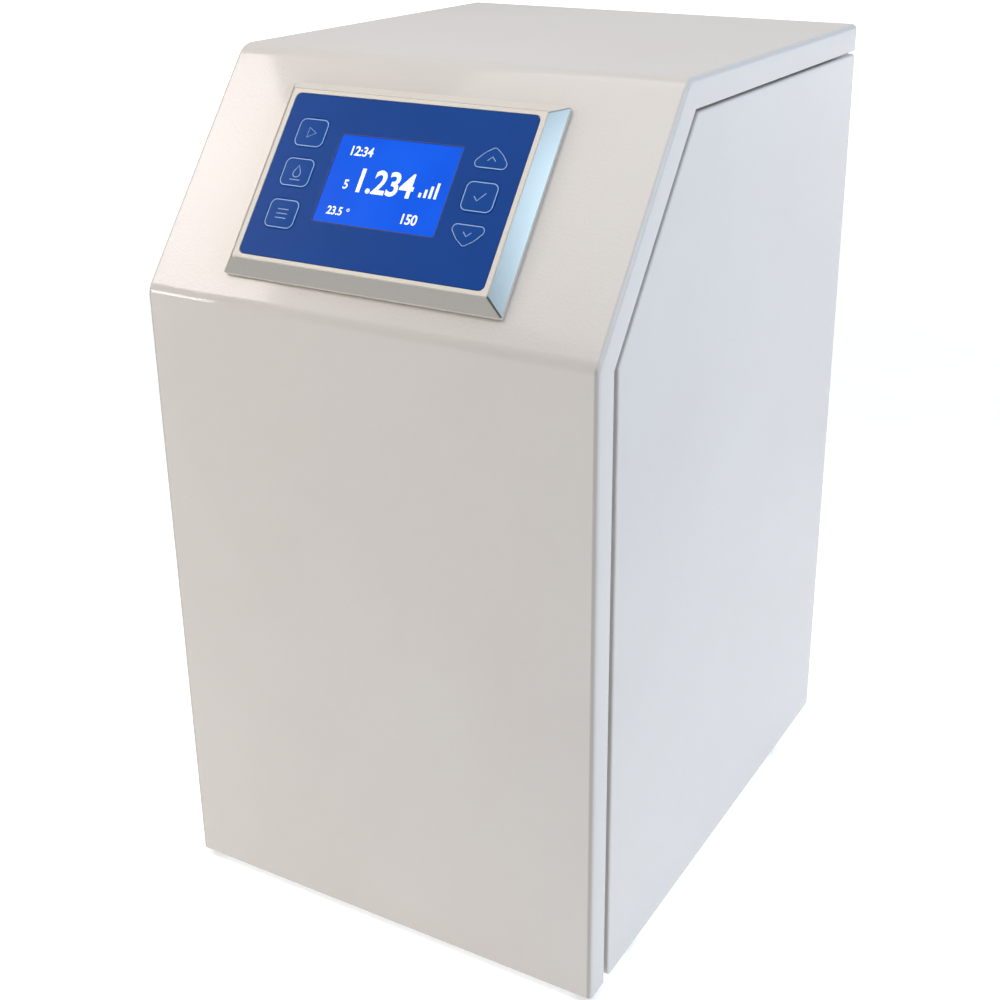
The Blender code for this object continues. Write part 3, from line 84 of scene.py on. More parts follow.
# Pivots and catches of the side panels, as in the model
PIVOT_RISE = 5 * MM
PIVOT_PIN = 2 * MM
PIVOT_PLACES = (-125 * MM, 115 * MM)
NOTCH_HALF = 8 * MM
EAR_HALF = 4 * MM
EAR_THICK = 2 * MM
CATCH_PLACES = (-50 * MM, 130 * MM)
CATCH_Z = TOP - 45 * MM
BALL_X = SIDE - 19 * MM
BALL_RADIUS = 3 * MM
STUD_RADIUS = 1.5 * MM
STUD_FLANGE = 1.5 * MM

# Display frame on the slope: across (u), up from the bend (v) and outward (n)
BEZEL_SIZE = (179 * MM, 120 * MM)
BEZEL_CENTRE = (-4.0 * MM, 76.4 * MM)
BEZEL_HEIGHT = 10 * MM
BEZEL_BEVEL = 7.5 * MM
BEZEL_EASE = 0.25 * MM
BEZEL_GROOVE = 0.3 * MM
BEZEL_CORNER = 1.2 * MM
OVERLAY_SIZE = (157 * MM, 99 * MM)
OVERLAY_TOP = 9.9 * MM
OVERLAY_CORNER = 3.5 * MM
POCKET_FLOOR = 8.8 * MM
LEDGE = 5.8 * MM
LEDGE_WIDTH = 5 * MM
FILM_EDGE_SHARE = 0.046
FILM_EDGE = OVERLAY_SIZE[0] * FILM_EDGE_SHARE
WINDOW_SIZE = tuple(side - FILM_EDGE - 2 * LEDGE_WIDTH for side in OVERLAY_SIZE)
LCD_CENTRE = (-3.4 * MM, 77.65 * MM)
LCD_SIZE = (78 * MM, 52 * MM)
LCD_FACE = 9.6 * MM
KEY_SIZE = (20.5 * MM, 18 * MM)
KEY_CORNER = 4.4 * MM
KEY_TOP = 10.3 * MM
KEY_HEIGHT = 1.8 * MM
KEY_SHOULDER = ((0.42, 0.06), (0.26, 0.22), (0.14, 0.5), (0.07, 0.9), (0.03, 1.6))  # drop and inset in mm
KEY_GROW = 0.2 * MM
ARROW_SIZE = (20.8 * MM, 13 * MM)
ARROW_CORNER = 3.0 * MM
ARROW_TIP = 1.6 * MM
ARROW_TIP_LEAST = 0.1 * MM
ARROW_BULGE = 1.1 * MM
ARROW_BULGE_SHARE = 0.45
ARROW_BULGE_RADIUS = 10 * MM
LINE_WIDTH = 0.5 * MM
LINE_INSET = 0.85 * MM
ARROW_LINE_INSET = 0.45 * MM
ARROW_LINE_TIP = 2.6 * MM
ARROW_LINE_BULGE = 1.5 * MM
INK = 0.08 * MM
MARK_LEVEL = KEY_TOP - 0.03 * MM
# How far in and out the painted shade ring round the screen window reaches
SHADE_RING_INNER = 0.1 * MM
SHADE_RING_OUTER = 0.65 * MM
CAPITAL_SHARE = 0.69
LEFT_U = -63.0 * MM
RIGHT_U = 54.8 * MM
KEYS = (
    ("key_left_top", LEFT_U, 102.3 * MM, "square"), ("key_left_middle", LEFT_U, 77.9 * MM, "square"),
    ("key_left_bottom", LEFT_U, 52.7 * MM, "square"), ("key_up", RIGHT_U, 99.5 * MM, "up"),
    ("key_select", RIGHT_U, 76.9 * MM, "square"), ("key_down", RIGHT_U, 54.7 * MM, "down"),
)
CONTROL_BACK = -1.8 * MM

# The screen's readings: name, characters, height in mm, place in mm from the screen's centre, alignment
READINGS = (
    ("time", "12:34", 5.4, (-31.0, 14.5), "LEFT"),
    ("range", "5", 5.2, (-24.0, -5.4), "RIGHT"),
    ("main", "1.234", 13.4, (17.5, -6.2), "RIGHT"),
    ("low", "23.5", 4.6, (-32.0, -21.0), "LEFT"),
    ("count", "150", 5.6, (26.0, -21.0), "RIGHT"),
)

# The back's openings and what sits in them
PORTS = ("feed", "drain", "product")
PORT_HOLE = 7.3 * MM
INLET_CENTRE = (-78 * MM, TOP - 97 * MM)
SLOT_CENTRE = (70 * MM, TOP - 117 * MM)
SLOT_SIZE = (70 * MM, 4 * MM)
SLOT_CORNER = 1.8 * MM
SLOT_PITCH = 10 * MM
SLOT_COUNT = 8
BACK_SCREW_X = 118 * MM
BACK_SCREW_INSET = 16 * MM
BACK_SCREW_RADIUS = 3.4 * MM
INLET_SCREW = 30 * MM
ROCKER_RADIUS = 8.5 * MM
ROCKER_DEGREES = 9.0
ROCKER_DIP = (0.0, 1.0 * MM, 0.0)
ROCKER_END = (0.0, 4.0 * MM, 7.82 * MM)

# Inside: screws, the supply's slots and the head's digits
SCREW_RADIUS = 3.2 * MM
SUPPLY_EDGE = 0.8 * MM
SUPPLY_SLOT = (36 * MM, 3 * MM)
SUPPLY_CORNER = 1.4 * MM
SUPPLY_PITCH = 12 * MM
SUPPLY_COLUMN = 22 * MM
SUPPLY_ROWS = 10
DIGIT_DROP = 18 * MM

# Sizes and places in mm, for writing, screws and the round pieces' profiles
DIGIT_HEIGHT = 12
PLATE_SCREWS_Y = (-140, -20, 144)
PLATE_SCREWS_Z = (60, 210, 360)
INLET_FLANGE = 5.4
PORT_TAIL = 22
NECK_RADIUS = 19
NECK_HEIGHT = 14
COIL_WIDTH = 28

# Camera, from the lines of the case in the photograph
CASE_WIDTH = 2 * SIDE
CAMERA_AZIMUTH = 0.5113
CAMERA_ELEVATION = 0.3773
CAMERA_ROLL = -0.0021
CAMERA_DISTANCE = 3.1914 * CASE_WIDTH
CAMERA_TARGET = (0.1042 * CASE_WIDTH, FRONT + 0.5 * CASE_WIDTH, BOTTOM + 0.9811 * CASE_WIDTH)
FRAME_PIXELS = 1000
FOCAL_PIXELS = 1490.3
CENTRE_PIXEL = (538.9, 426.6)
SENSOR_WIDTH = 36.0

# Light: the room's dark side, and each box's place, aim, size, power and colour
DARK_HEADING = (0.40, -0.83, -0.38)
DARK_SPREAD = (-0.46, 0.34)
COOL_HEADING = (0.93, 0.35, 0.10)
COOL_SPREAD = (0.15, 1.0)
ROOM_LIGHT = (0.68, 0.68, 0.68, 1.0)
ROOM_COOL = (0.36, 0.48, 0.74, 1.0)
ROOM_DARK = (0.04, 0.037, 0.034, 1.0)
FLOOR_GLOW = (0.56, 0.38, 0.95)
GLOW_NEAR = (0.25, 0.8)
GLOW_FAR = (0.8, 4.0)
LIGHTS = (
    ("warm_box", (-1.26, -0.72, 1.42), (-0.08, -0.14, 0.43), (0.50, 0.50), 5.4, (1.0, 0.93, 0.88)),
    ("cool_box", (1.35, -0.30, 1.25), (0.1, 0.0, 0.35), (0.7, 0.7), 8.2, (0.56, 0.78, 1.0)),
    ("left_box", (-0.74, -0.75, 0.47), (-0.14, -0.18, 0.38), (0.12, 0.12), 0.60, (1.0, 0.98, 0.96)),
    ("top_box", (-0.15, -0.62, 2.0), (0.0, 0.0, 0.4), (1.4, 1.4), 13.4, (1.0, 0.965, 0.93)),
    ("rear_box", (1.5, 1.2, 0.7), (0.1, 0.1, 0.2), (1.2, 1.2), 4.5, (0.62, 0.80, 1.0)),
)


def linear(red, green, blue):
    """A display colour of 0 to 255 parts as scene values."""
    parts = []
    for value in (red / 255, green / 255, blue / 255):
        parts.append(value / 12.92 if value <= 0.04045 else ((value + 0.055) / 1.055) ** 2.4)
    return (*parts, 1.0)


class Nodes:
    """A short way to lay and join the nodes of one material, or of the world."""

    def __init__(self, name, blocks=bpy.data.materials, end="Principled BSDF", space="Object"):
        self.block = blocks.new(name)
        self.block.use_nodes = True
        self.tree = self.block.node_tree
        self.shader = self.tree.nodes[end]
        self.place = self.add("ShaderNodeTexCoord").outputs[space]

    def wire(self, value, socket):
        """Join an output to a socket, or set the socket to a plain value."""
        if isinstance(value, bpy.types.NodeSocket):
            self.tree.links.new(value, socket)
        else:
            socket.default_value = value

    def add(self, kind, inputs=None, **settings):
        node = self.tree.nodes.new(kind)
        for key, value in settings.items():
            setattr(node, key, value)
        for key, value in (inputs or {}).items():
            self.wire(value, node.inputs[key])
        return node

    def noise(self, scale, detail=2.0, rough=0.5, vector=None):
        inputs = {"Vector": vector or self.place, "Scale": scale, "Detail": detail, "Roughness": rough}
        return self.add("ShaderNodeTexNoise", inputs).outputs["Fac"]

    def ramp(self, value, low, high, first=0.0, last=1.0, **settings):
        """A value that runs from first at low to last at high, and stays there beyond."""
        inputs = {"Value": value, "From Min": low, "From Max": high, "To Min": first, "To Max": last}
        return self.add("ShaderNodeMapRange", inputs, **settings).outputs["Result"]

    def spread(self, value, low, high):
        """A noise's usual reach spread over low to high."""
        return self.ramp(value, 0.3, 0.7, low, high)

    def mix(self, factor, first, second):
        node = self.add("ShaderNodeMix", {0: factor}, data_type="RGBA")
        self.wire(first, node.inputs[6])
        self.wire(second, node.inputs[7])
        return node.outputs[2]

    def math(self, operation, *values):
        return self.add("ShaderNodeMath", dict(enumerate(values)), operation=operation).outputs[0]

    def bump(self, height, distance, strength=1.0, **under):
        inputs = {"Height": height, "Distance": distance, "Strength": strength, **under}
        return self.add("ShaderNodeBump", inputs).outputs["Normal"]

    def stretch(self, *scale):
        """The place with each axis stretched, for noise drawn out into lines."""
        return self.add("ShaderNodeMapping", {"Vector": self.place, "Scale": scale}).outputs["Vector"]

    def feed(self, **sockets):
        """Join or set the shader's inputs, named with underscores for spaces."""
        for key, value in sockets.items():
            self.wire(value, self.shader.inputs[key.replace("_", " ")])


def shade(colour, factor):
    """A colour made lighter or darker."""
    return (*[min(1.0, part * factor) for part in colour[:3]], 1.0)


def worn_surface(name, colour, roughness, metallic=0.0, cloud=0.04, grain=(900.0, 0.02 * MM), **sockets):
    """A finish with slow colour clouds, uneven gloss and a fine surface grain."""
    n = Nodes(name)
    clouds = n.noise(14.0, 4.0, 0.6)
    tint = n.mix(n.ramp(clouds, 0.35, 0.65), shade(colour, 1 - cloud), shade(colour, 1 + cloud))
    gloss = n.spread(n.noise(60.0, 3.0), roughness * 0.88, roughness * 1.12)
    scale, height = grain
    relief = n.bump(n.noise(scale, 3.0, 0.6), height)
    n.feed(Base_Color=tint, Roughness=gloss, Metallic=metallic, Normal=relief, **sockets)
    return n.block


def point_ring(radius, count=64, centre=(0.0, 0.0), start=0.0):
    """Points round a circle."""
    angles = [start + 2 * math.pi / count * i for i in range(count)]
    return [(centre[0] + radius * math.cos(a), centre[1] + radius * math.sin(a)) for a in angles]


def quarter(steps):
    """What is left across and along to a quarter circle's end at each step, as shares of its radius."""
    turns = [math.radians(90.0 * i / steps) for i in range(steps + 1)]
    return [(1 - math.sin(turn), 1 - math.cos(turn)) for turn in turns]


def add_object(name, data):
    """A new object in the scene."""
    obj = bpy.data.objects.new(name, data)
    bpy.context.scene.collection.objects.link(obj)
    return obj


def at(spot, degrees=0.0, about="X"):
    """A place moved to a spot and turned about an axis."""
    return Matrix.Translation(spot) @ Matrix.Rotation(math.radians(degrees), 4, about)


def mm(rows):
    """Rows of numbers in mm as lengths of the scene."""
    return [tuple(value * MM for value in row) for row in rows]


def finish_mesh(name, build, sharp=CREASE):
    """A smooth-shaded mesh from a build, with edges sharper than an angle kept crisp."""
    mesh = bpy.data.meshes.new(name)
    build.to_mesh(mesh)
    build.free()
    mesh.shade_smooth()
    mesh.set_sharp_from_angle(angle=math.radians(sharp))
    return mesh


def rounded(points, radii, steps=8):
    """A run of corners, each turned into an arc of its own radius."""
    result = []
    count = len(points)
    for i, (point, radius) in enumerate(zip(points, radii)):
        here = Vector(point)
        if radius <= 0:
            result.append(tuple(here))
            continue
        back = (Vector(points[i - 1]) - here).normalized()
        ahead = (Vector(points[(i + 1) % count]) - here).normalized()
        half = back.angle(ahead) / 2
        centre = here + (back + ahead).normalized() * (radius / math.sin(half))
        start = here + back * (radius / math.tan(half)) - centre
        sweep = math.pi - 2 * half
        turn = 1.0 if start.x * (here - centre).y - start.y * (here - centre).x > 0 else -1.0
        for step in range(steps + 1):
            spun = Matrix.Rotation(turn * sweep * step / steps, 2) @ start
            result.append(tuple(centre + spun))
    return result


def rounded_box(width, length, radius, centre=(0.0, 0.0), steps=8):
    """A rectangle with round corners about a centre."""
    x, y = width / 2, length / 2
    points = rounded([(x, -y), (x, y), (-x, y), (-x, -y)], [radius] * 4, steps)
    return [(a + centre[0], b + centre[1]) for a, b in points]


def grown_box(size, grow, corner, centre=(0.0, 0.0)):
    """A round-cornered rectangle whose sides stand further out."""
    return rounded_box(size[0] + 2 * grow, size[1] + 2 * grow, corner, centre)


def flat(points, level, axis="z"):
    """Points of a 2-D outline laid on a plane square to an axis."""
    index = "xyz".index(axis)
    return [(*point[:index], level, *point[index:]) for point in points]


def arc(centre, radius, first, last, steps):
    """Points along an arc between two angles in degrees."""
    angles = [math.radians(first + (last - first) * i / steps) for i in range(steps + 1)]
    return [(centre[0] + radius * math.cos(a), centre[1] + radius * math.sin(a)) for a in angles]


def loft(name, loops, ring=False, place=None, sharp=CREASE):
    """A skin through loops of equal point counts; a ring also joins its last loop to its first."""
    build = bmesh.new()
    rows = [[build.verts.new(point) for point in loop] for loop in loops]
    pairs = list(zip(rows, rows[1:])) + ([(rows[-1], rows[0])] if ring else [])
    for low, high in pairs:
        for i in range(len(low)):
            j = (i + 1) % len(low)
            build.faces.new((low[i], low[j], high[j], high[i]))
    if not ring:
        build.faces.new(list(reversed(rows[0])))
        build.faces.new(rows[-1])
    bmesh.ops.recalc_face_normals(build, faces=build.faces)
    mesh = finish_mesh(name, build, sharp)
    if place is not None:
        mesh.transform(place)
    return add_object(name, mesh)


def slab(name, outline, low, high, axis="z", place=None):
    """A straight piece with one outline between two levels."""
    return loft(name, [flat(outline, low, axis), flat(outline, high, axis)], place=place)


def turned(name, profile, count=72, ring=False, place=None):
    """A round piece about its own Z from pairs of radius and level in mm."""
    return loft(name, [flat(point_ring(r * MM, count), z * MM) for r, z in profile], ring, place)


def rim(name, outer, inner, low, high, place):
    """A flat ring between two outlines and two levels."""
    loops = [flat(outer, low), flat(outer, high), flat(inner, high), flat(inner, low)]
    return loft(name, loops, True, place)


def within(radius, rows):
    """Rows of a profile given as how far inside a radius, then the rest."""
    return [(radius - row[0], *row[1:]) for row in rows]


def hoop(radius, low, high, skin):
    """A thin band's section, half sunk in the wall that it runs round."""
    return [(radius - skin, low), (radius + skin, low), (radius + skin, high), (radius - skin, high)]


def boxed(rows):
    """Loops of round-cornered rectangles from (width, length, corner, level) in mm."""
    return [flat(rounded_box(w * MM, d * MM, corner * MM), level * MM) for w, d, corner, level in rows]


def join(name, pieces):
    """Several meshes as one object."""
    build = bmesh.new()
    for piece in pieces:
        build.from_mesh(piece.data)
        bpy.data.objects.remove(piece)
    return add_object(name, finish_mesh(name, build))


def on_slope(u=0.0, v=0.0, level=0.0):
    """A place on the slope: X across, Y up the slope from the bend, Z outward."""
    slope = Matrix.Translation((0.0, FRONT, BEND)) @ Matrix.Rotation(SLOPE_ANGLE, 4, "X")
    return slope @ Matrix.Translation((u, v, level))


def ease(obj, width, segments=2, angle=40.0):
    """Break the sharp edges of a piece."""
    bevel = obj.modifiers.new("eased_edges", "BEVEL")
    bevel.width = width
    bevel.segments = segments
    bevel.limit_method = "ANGLE"
    bevel.angle_limit = math.radians(angle)
    bevel.harden_normals = True
    bevel.use_clamp_overlap = True
    return obj


def own(obj, material, slot, body, *nodes):
    """Give a piece its finish and body, and hide the model's nodes that it stands for."""
    obj.data.materials.clear()
    obj.data.materials.append(material)
    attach(obj, body)
    if nodes:
        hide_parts(*nodes)
    return obj


def powder_coat():
    """Glossy cream powder coat: orange peel, faint clouds, few specks, and painted shade along the upright
    folds in front.
    """
    n = Nodes("cream_powder_coat")
    clouds = n.noise(9.0, 3.0, 0.55)
    base = n.mix(n.ramp(clouds, 0.3, 0.7), linear(214, 206, 199), linear(217, 210, 203))
    specks = n.noise(330.0, 1.0, 0.4)
    tint = n.mix(n.math("MULTIPLY", n.ramp(specks, 0.76, 0.82), 0.16), base, linear(176, 164, 148))
    # Painted shade: the upright folds between the front and the sides are darkened to a grey brown, where
    # light falls off round the bend.
    parts = n.add("ShaderNodeSeparateXYZ", {0: n.place}).outputs
    across = n.ramp(n.math("ABSOLUTE", parts["X"]), SIDE - 3.1 * MM, SIDE - 2.3 * MM)
    behind = n.ramp(parts["Y"], FRONT + 0.5 * MM, FRONT + 1.4 * MM)
    fold = n.math("MULTIPLY", across, n.math("SUBTRACT", 1.0, behind))
    tint = n.mix(n.math("MULTIPLY", fold, 0.5), tint, linear(146, 134, 124))
    peel = n.noise(640.0, 2.0, 0.45)
    fine = n.noise(2600.0, 2.0, 0.5)
    relief = n.bump(fine, 0.008 * MM, 0.5, Normal=n.bump(peel, 0.15 * MM, 0.9))
    n.feed(Base_Color=tint, Roughness=n.spread(peel, 0.30, 0.42), Normal=relief)
    n.feed(Coat_Weight=0.55, Coat_Roughness=0.07)
    return n.block


def steel_sheet(name, colour, roughness):
    """Zinc-plated sheet: rolling lines, soft spangle and slightly uneven gloss."""
    n = Nodes(name)
    lines = n.noise(420.0, 2.0, 0.6, n.stretch(1.0, 12.0, 1.0))
    cells = n.add("ShaderNodeTexVoronoi", {"Vector": n.place, "Scale": 160.0}).outputs["Color"]
    grey = n.add("ShaderNodeRGBToBW", {"Color": cells}).outputs["Val"]
    tint = n.mix(grey, shade(colour, 0.93), shade(colour, 1.06))
    gloss = n.spread(lines, roughness * 0.85, roughness * 1.2)
    n.feed(Base_Color=tint, Roughness=gloss, Metallic=0.9, Normal=n.bump(lines, 0.006 * MM))
    return n.block


def satin_bezel():
    """Satin anodised aluminium with a fine bead-blast grain and light handling marks."""
    n = Nodes("satin_bezel")
    grain = n.noise(3200.0, 2.0, 0.6)
    marks = n.noise(70.0, 5.0, 0.75)
    tint = n.mix(n.ramp(marks, 0.5, 0.8), linear(222, 214, 202), linear(214, 208, 197))
    n.feed(Base_Color=tint, Roughness=n.spread(marks, 0.4, 0.5), Metallic=0.05)
    n.feed(Normal=n.bump(grain, 0.006 * MM))
    return n.block


def cut_chamfer():
    """Diamond-cut aluminium: fine cutting lines, a soft mirror and a few scattered scuffs."""
    n = Nodes("cut_chamfer")
    lines = n.noise(260.0, 2.0, 0.6, n.stretch(1.0, 14.0, 14.0))
    scuffs = n.noise(230.0, 3.0, 0.7)
    tint = n.mix(n.ramp(scuffs, 0.70, 0.78), linear(162, 159, 153), linear(128, 125, 120))
    n.feed(Base_Color=tint, Roughness=n.spread(lines, 0.27, 0.32), Metallic=0.9)
    return n.block


def membrane(name, colour):
    """Printed polyester film with a very fine matte grain."""
    n = Nodes(name)
    clouds = n.noise(16.0, 3.0)
    tint = n.mix(n.ramp(clouds, 0.3, 0.7), shade(colour, 0.93), shade(colour, 1.07))
    grain = n.noise(4200.0, 2.0, 0.7)
    n.feed(Base_Color=tint, Roughness=n.spread(grain, 0.3, 0.42), Normal=n.bump(grain, 0.004 * MM))
    n.feed(Specular_IOR_Level=0.1)
    return n.block


def lit_screen():
    """The screen's backlit blue, a little uneven, under matte glass."""
    n = Nodes("lit_screen")
    glow = n.noise(26.0, 1.0)
    tint = n.mix(n.ramp(glow, 0.3, 0.7), linear(0, 86, 228), linear(8, 94, 238))
    n.feed(Base_Color=(0.0, 0.004, 0.02, 1.0), Roughness=n.spread(glow, 0.2, 0.26), Specular_IOR_Level=0.06)
    n.feed(Emission_Color=tint, Emission_Strength=1.0)
    return n.block


def print_ink(name, colour, glow=0.0):
    """Screen-printed ink with a faintly uneven film."""
    n = Nodes(name)
    film = n.noise(1500.0, 2.0)
    tint = n.mix(n.ramp(film, 0.3, 0.7), shade(colour, 0.94), shade(colour, 1.04))
    n.feed(Base_Color=tint, Roughness=n.spread(film, 0.35, 0.5))
    if glow:
        n.feed(Emission_Color=tint, Emission_Strength=glow)
    return n.block


PAINT = powder_coat()
ZINC = steel_sheet("zinc_steel_sheet", (0.56, 0.57, 0.58, 1.0), 0.34)
BEZEL = satin_bezel()
CHAMFER = cut_chamfer()
FILM = membrane("blue_film", linear(0, 64, 142))
KEY_FILM = membrane("blue_key_film", linear(0, 68, 146))
LINE_INK = print_ink("pale_line_ink", linear(150, 182, 226))
SCREEN_INK = print_ink("white_screen_ink", linear(238, 242, 255), 0.35)
# A dark blue ring round the screen window: painted shade where the sunk glass meets the film.
WINDOW_SHADE_INK = print_ink("painted_window_shade_ink", linear(6, 36, 96))
RUBBER = worn_surface("black_rubber_feet", (0.022, 0.022, 0.023, 1.0), 0.75, grain=(1400.0, 0.05 * MM))
BLACK = worn_surface("black_moulded_plastic", (0.028, 0.028, 0.030, 1.0), 0.42, grain=(1800.0, 0.02 * MM))
WHITE = worn_surface("white_moulded_plastic", (0.80, 0.80, 0.78, 1.0), 0.34, cloud=0.015)
GREY = worn_surface("grey_moulded_plastic", (0.33, 0.35, 0.37, 1.0), 0.42)
SCREEN = lit_screen()
MOTOR = worn_surface("grey_painted_can", (0.16, 0.17, 0.18, 1.0), 0.38, 0.5)
BRASS = worn_surface("machined_brass", (0.62, 0.44, 0.17, 1.0), 0.3, 0.95, 0.06)
HOSE = worn_surface("blue_hose_wall", linear(36, 96, 190), 0.3, cloud=0.03, Coat_Weight=0.3)
BAND_BLUE = print_ink("blue_band_ink", linear(70, 120, 180))
BAND_GREY = print_ink("grey_band_ink", linear(120, 130, 138))
BAND_GREEN = print_ink("green_band_ink", linear(90, 150, 110))
BOARD = worn_surface("green_solder_mask", (0.02, 0.16, 0.06, 1.0), 0.32, cloud=0.12, grain=(700.0, 0.03 * MM))
CARTRIDGE_BANDS = {
    "prefilter_cartridge": BAND_GREY, "ion_cartridge": BAND_BLUE, "polishing_cartridge": BAND_GREEN,
}
PLAIN_NODES = {
    "base_pan": (ZINC, 0.3), "mid_plate": (ZINC, 0.3), "ro_clip_lower": (BLACK, 0.5),
    "ro_clip_upper": (BLACK, 0.5), "pump_rotor": (ZINC, 0.3), "pump_cradle": (RUBBER, 0.8),
    "panel_catch_left_front": (ZINC, 0.2), "panel_catch_left_rear": (ZINC, 0.2),
    "panel_catch_right_front": (ZINC, 0.2), "panel_catch_right_rear": (ZINC, 0.2),
}


def side_outline(front, slope, top, rear, bottom, radii, steps=10):
    """The case's side profile with each edge moved in by its own amount, as (y, z) points."""
    lean = Vector((math.cos(SLOPE_ANGLE), math.sin(SLOPE_ANGLE)))
    inward = Vector((math.sin(SLOPE_ANGLE), -math.cos(SLOPE_ANGLE)))
    on_slope = Vector((FRONT, BEND)) + inward * slope
    y_front, z_top = FRONT + front, TOP - top
    bend = (y_front, on_slope.y + lean.y * (y_front - on_slope.x) / lean.x)
    crown = (on_slope.x + lean.x * (z_top - on_slope.y) / lean.y, z_top)
    corners = [(y_front, BOTTOM + bottom), bend, crown, (REAR - rear, z_top), (REAR - rear, BOTTOM + bottom)]
    return rounded(corners, radii, steps)


def carve(obj, tool, operation="DIFFERENCE"):
    """Cut a tool out of a piece, or join it on, and keep only the result."""
    step = obj.modifiers.new("carve", "BOOLEAN")
    step.object = tool
    step.operation = operation
    graph = bpy.context.evaluated_depsgraph_get()
    graph.update()
    mesh = bpy.data.meshes.new_from_object(obj.evaluated_get(graph))
    obj.modifiers.clear()
    obj.data = mesh
    bpy.data.objects.remove(tool)
    mesh.set_sharp_from_angle(angle=math.radians(CREASE))
    return obj


def pierce(obj, outline, low, high, axis="z", place=None):
    """Cut a straight hole through a piece."""
    return carve(obj, slab("hole", outline, low, high, axis, place))


def shell_run(inset, ends):
    """The folded sheet's run at one depth, with extra stations near its bottom and rear ends."""
    radius = max(BEND_RADIUS - inset, EDGE_RADIUS / 2)
    points = side_outline(inset, inset, inset, 0.0, 0.0, (0.0, radius, radius, 0.0, 0.0))[1:-2]
    start = [(FRONT + inset, BOTTOM + distance) for distance in reversed(ends)]
    return start + points + [(REAR - distance, TOP - inset) for distance in ends]


def shell_section(wear):
    """The channel's section as (x, depth) points, its outer side worn back at the sheet's ends."""
    fold = arc((SIDE - EDGE_RADIUS, EDGE_RADIUS), EDGE_RADIUS - wear, -90.0, 0.0, 8)
    edge = arc((SIDE - LIP_FOLD, FLANGE_DEPTH - LIP_FOLD), LIP_FOLD - wear, 0.0, 90.0, 5)
    lip = [(SIDE - LIP_WIDTH, FLANGE_DEPTH - wear), (SIDE - LIP_WIDTH, FLANGE_DEPTH - SHEET)]
    inner = [(SIDE - SHEET, FLANGE_DEPTH - SHEET)]
    back = arc((SIDE - EDGE_RADIUS, EDGE_RADIUS), EDGE_RADIUS - SHEET, 0.0, -90.0, 6)
    right = fold + edge + lip + inner + back
    return right + [(-x, inset) for x, inset in reversed(right)]


def rear_drop(y, inset):
    """How far the top sheet rolls down near its rear end."""
    near = REAR_ROLL - (REAR - y)
    if near <= 0:
        return 0.0
    return (REAR_ROLL - math.sqrt(max(REAR_ROLL ** 2 - near ** 2, 0.0))) * max(0.0, 1 - inset / REAR_ROLL)


def case_shell():
    """Front, slope and top in one folded sheet: round side folds, return lips and eased ends."""
    ends = [REAR_ROLL * (1 - math.sin(math.radians(10.0 * i))) for i in range(5)]
    ends += [SHEET_END * across for across, _ in quarter(5)]
    wears = [SHEET_END * along for _, along in reversed(quarter(5))]
    count = len(shell_run(0.0, ends))
    runs = {}
    loops = []
    for station in range(count):
        near = min(station, count - 1 - station)
        loop = []
        for x, inset in shell_section(wears[near] if near < len(wears) else 0.0):
            if inset not in runs:
                runs[inset] = shell_run(inset, ends)
            y, z = runs[inset][station]
            loop.append((x, y, z - rear_drop(y, inset)))
        loops.append(loop)
    obj = loft("case_shell", loops)
    opening = rounded_box(*WINDOW_SIZE, OVERLAY_CORNER)
    pierce(obj, opening, -REACH, REACH, place=on_slope(*BEZEL_CENTRE))
    own(obj, PAINT, "cream_paint", "case", "front_top_shell")


def side_panel(side, sign):
    """A pressed tray with round folds, its hook ears and its ball studs."""
    depths = [FLANGE_DEPTH + gap for gap in PANEL_GAPS]

    def outline(inset, x):
        radii = [max(PANEL_CORNER - inset, TIGHT_CORNER)] * 5
        return flat(side_outline(*[depth + inset for depth in depths], inset, inset, radii), sign * x, "x")

    rim = SIDE - PANEL_FOLD
    loops = [outline(PANEL_SHEET, SIDE - PANEL_SHEET), outline(PANEL_SHEET, rim), outline(0.0, rim)]
    loops += [outline(PANEL_EDGE * along, SIDE - PANEL_EDGE * across) for across, along in quarter(6)]
    panel = loft(f"panel_{side}", loops)
    x, z = SIDE - PIVOT_RISE, BOTTOM + PIVOT_RISE
    wall, low, high = SIDE - PANEL_SHEET / 2, z - PIVOT_PIN, z + EAR_HALF
    slot = PIVOT_PIN + SEAT_GAP
    ear = [(wall, low), (x + slot, low), *arc((x, z), slot, 0.0, 180.0, 12), (x - slot, low)]
    ear += [(x - EAR_HALF, low), (x - EAR_HALF, high), (wall, high)]
    near, far = SIDE - PANEL_FOLD - REACH, SIDE - PANEL_SHEET - SEAT_GAP
    floor, roof = BOTTOM - REACH, BOTTOM + PANEL_SHEET + SEAT_GAP
    notch = [(near, floor), (far, floor), (far, roof), (near, roof)]
    ear, notch = [[(sign * x, z) for x, z in points] for points in (ear, notch)]
    for y in PIVOT_PLACES:
        pierce(panel, notch, y - NOTCH_HALF, y + NOTCH_HALF, "y")
        carve(panel, slab("ear", ear, y, y + EAR_THICK, "y"), "UNION")
    body = f"side_panel_{side}"
    own(join(f"panel_studs_{side}", [stud(sign, y) for y in CATCH_PLACES]), ZINC, "zinc_steel", body)
    own(panel, PAINT, "cream_paint", body, body)


def stud(sign, y):
    """A ball stud: ball, neck and the flange on the panel's inner face."""
    wall = SIDE - PANEL_SHEET - BALL_X
    rows = arc((0.0, 0.0), BALL_RADIUS, -86.0, 58.0, 18)
    rows += [(STUD_RADIUS, BALL_RADIUS), (STUD_RADIUS, wall - STUD_FLANGE)]
    rows += [(2.4 * STUD_RADIUS, wall - STUD_FLANGE), (2.4 * STUD_RADIUS, wall)]
    place = at((sign * BALL_X, y, CATCH_Z), sign * 90, "Y")
    return turned("stud", [(radius / MM, level / MM) for radius, level in rows], 40, place=place)


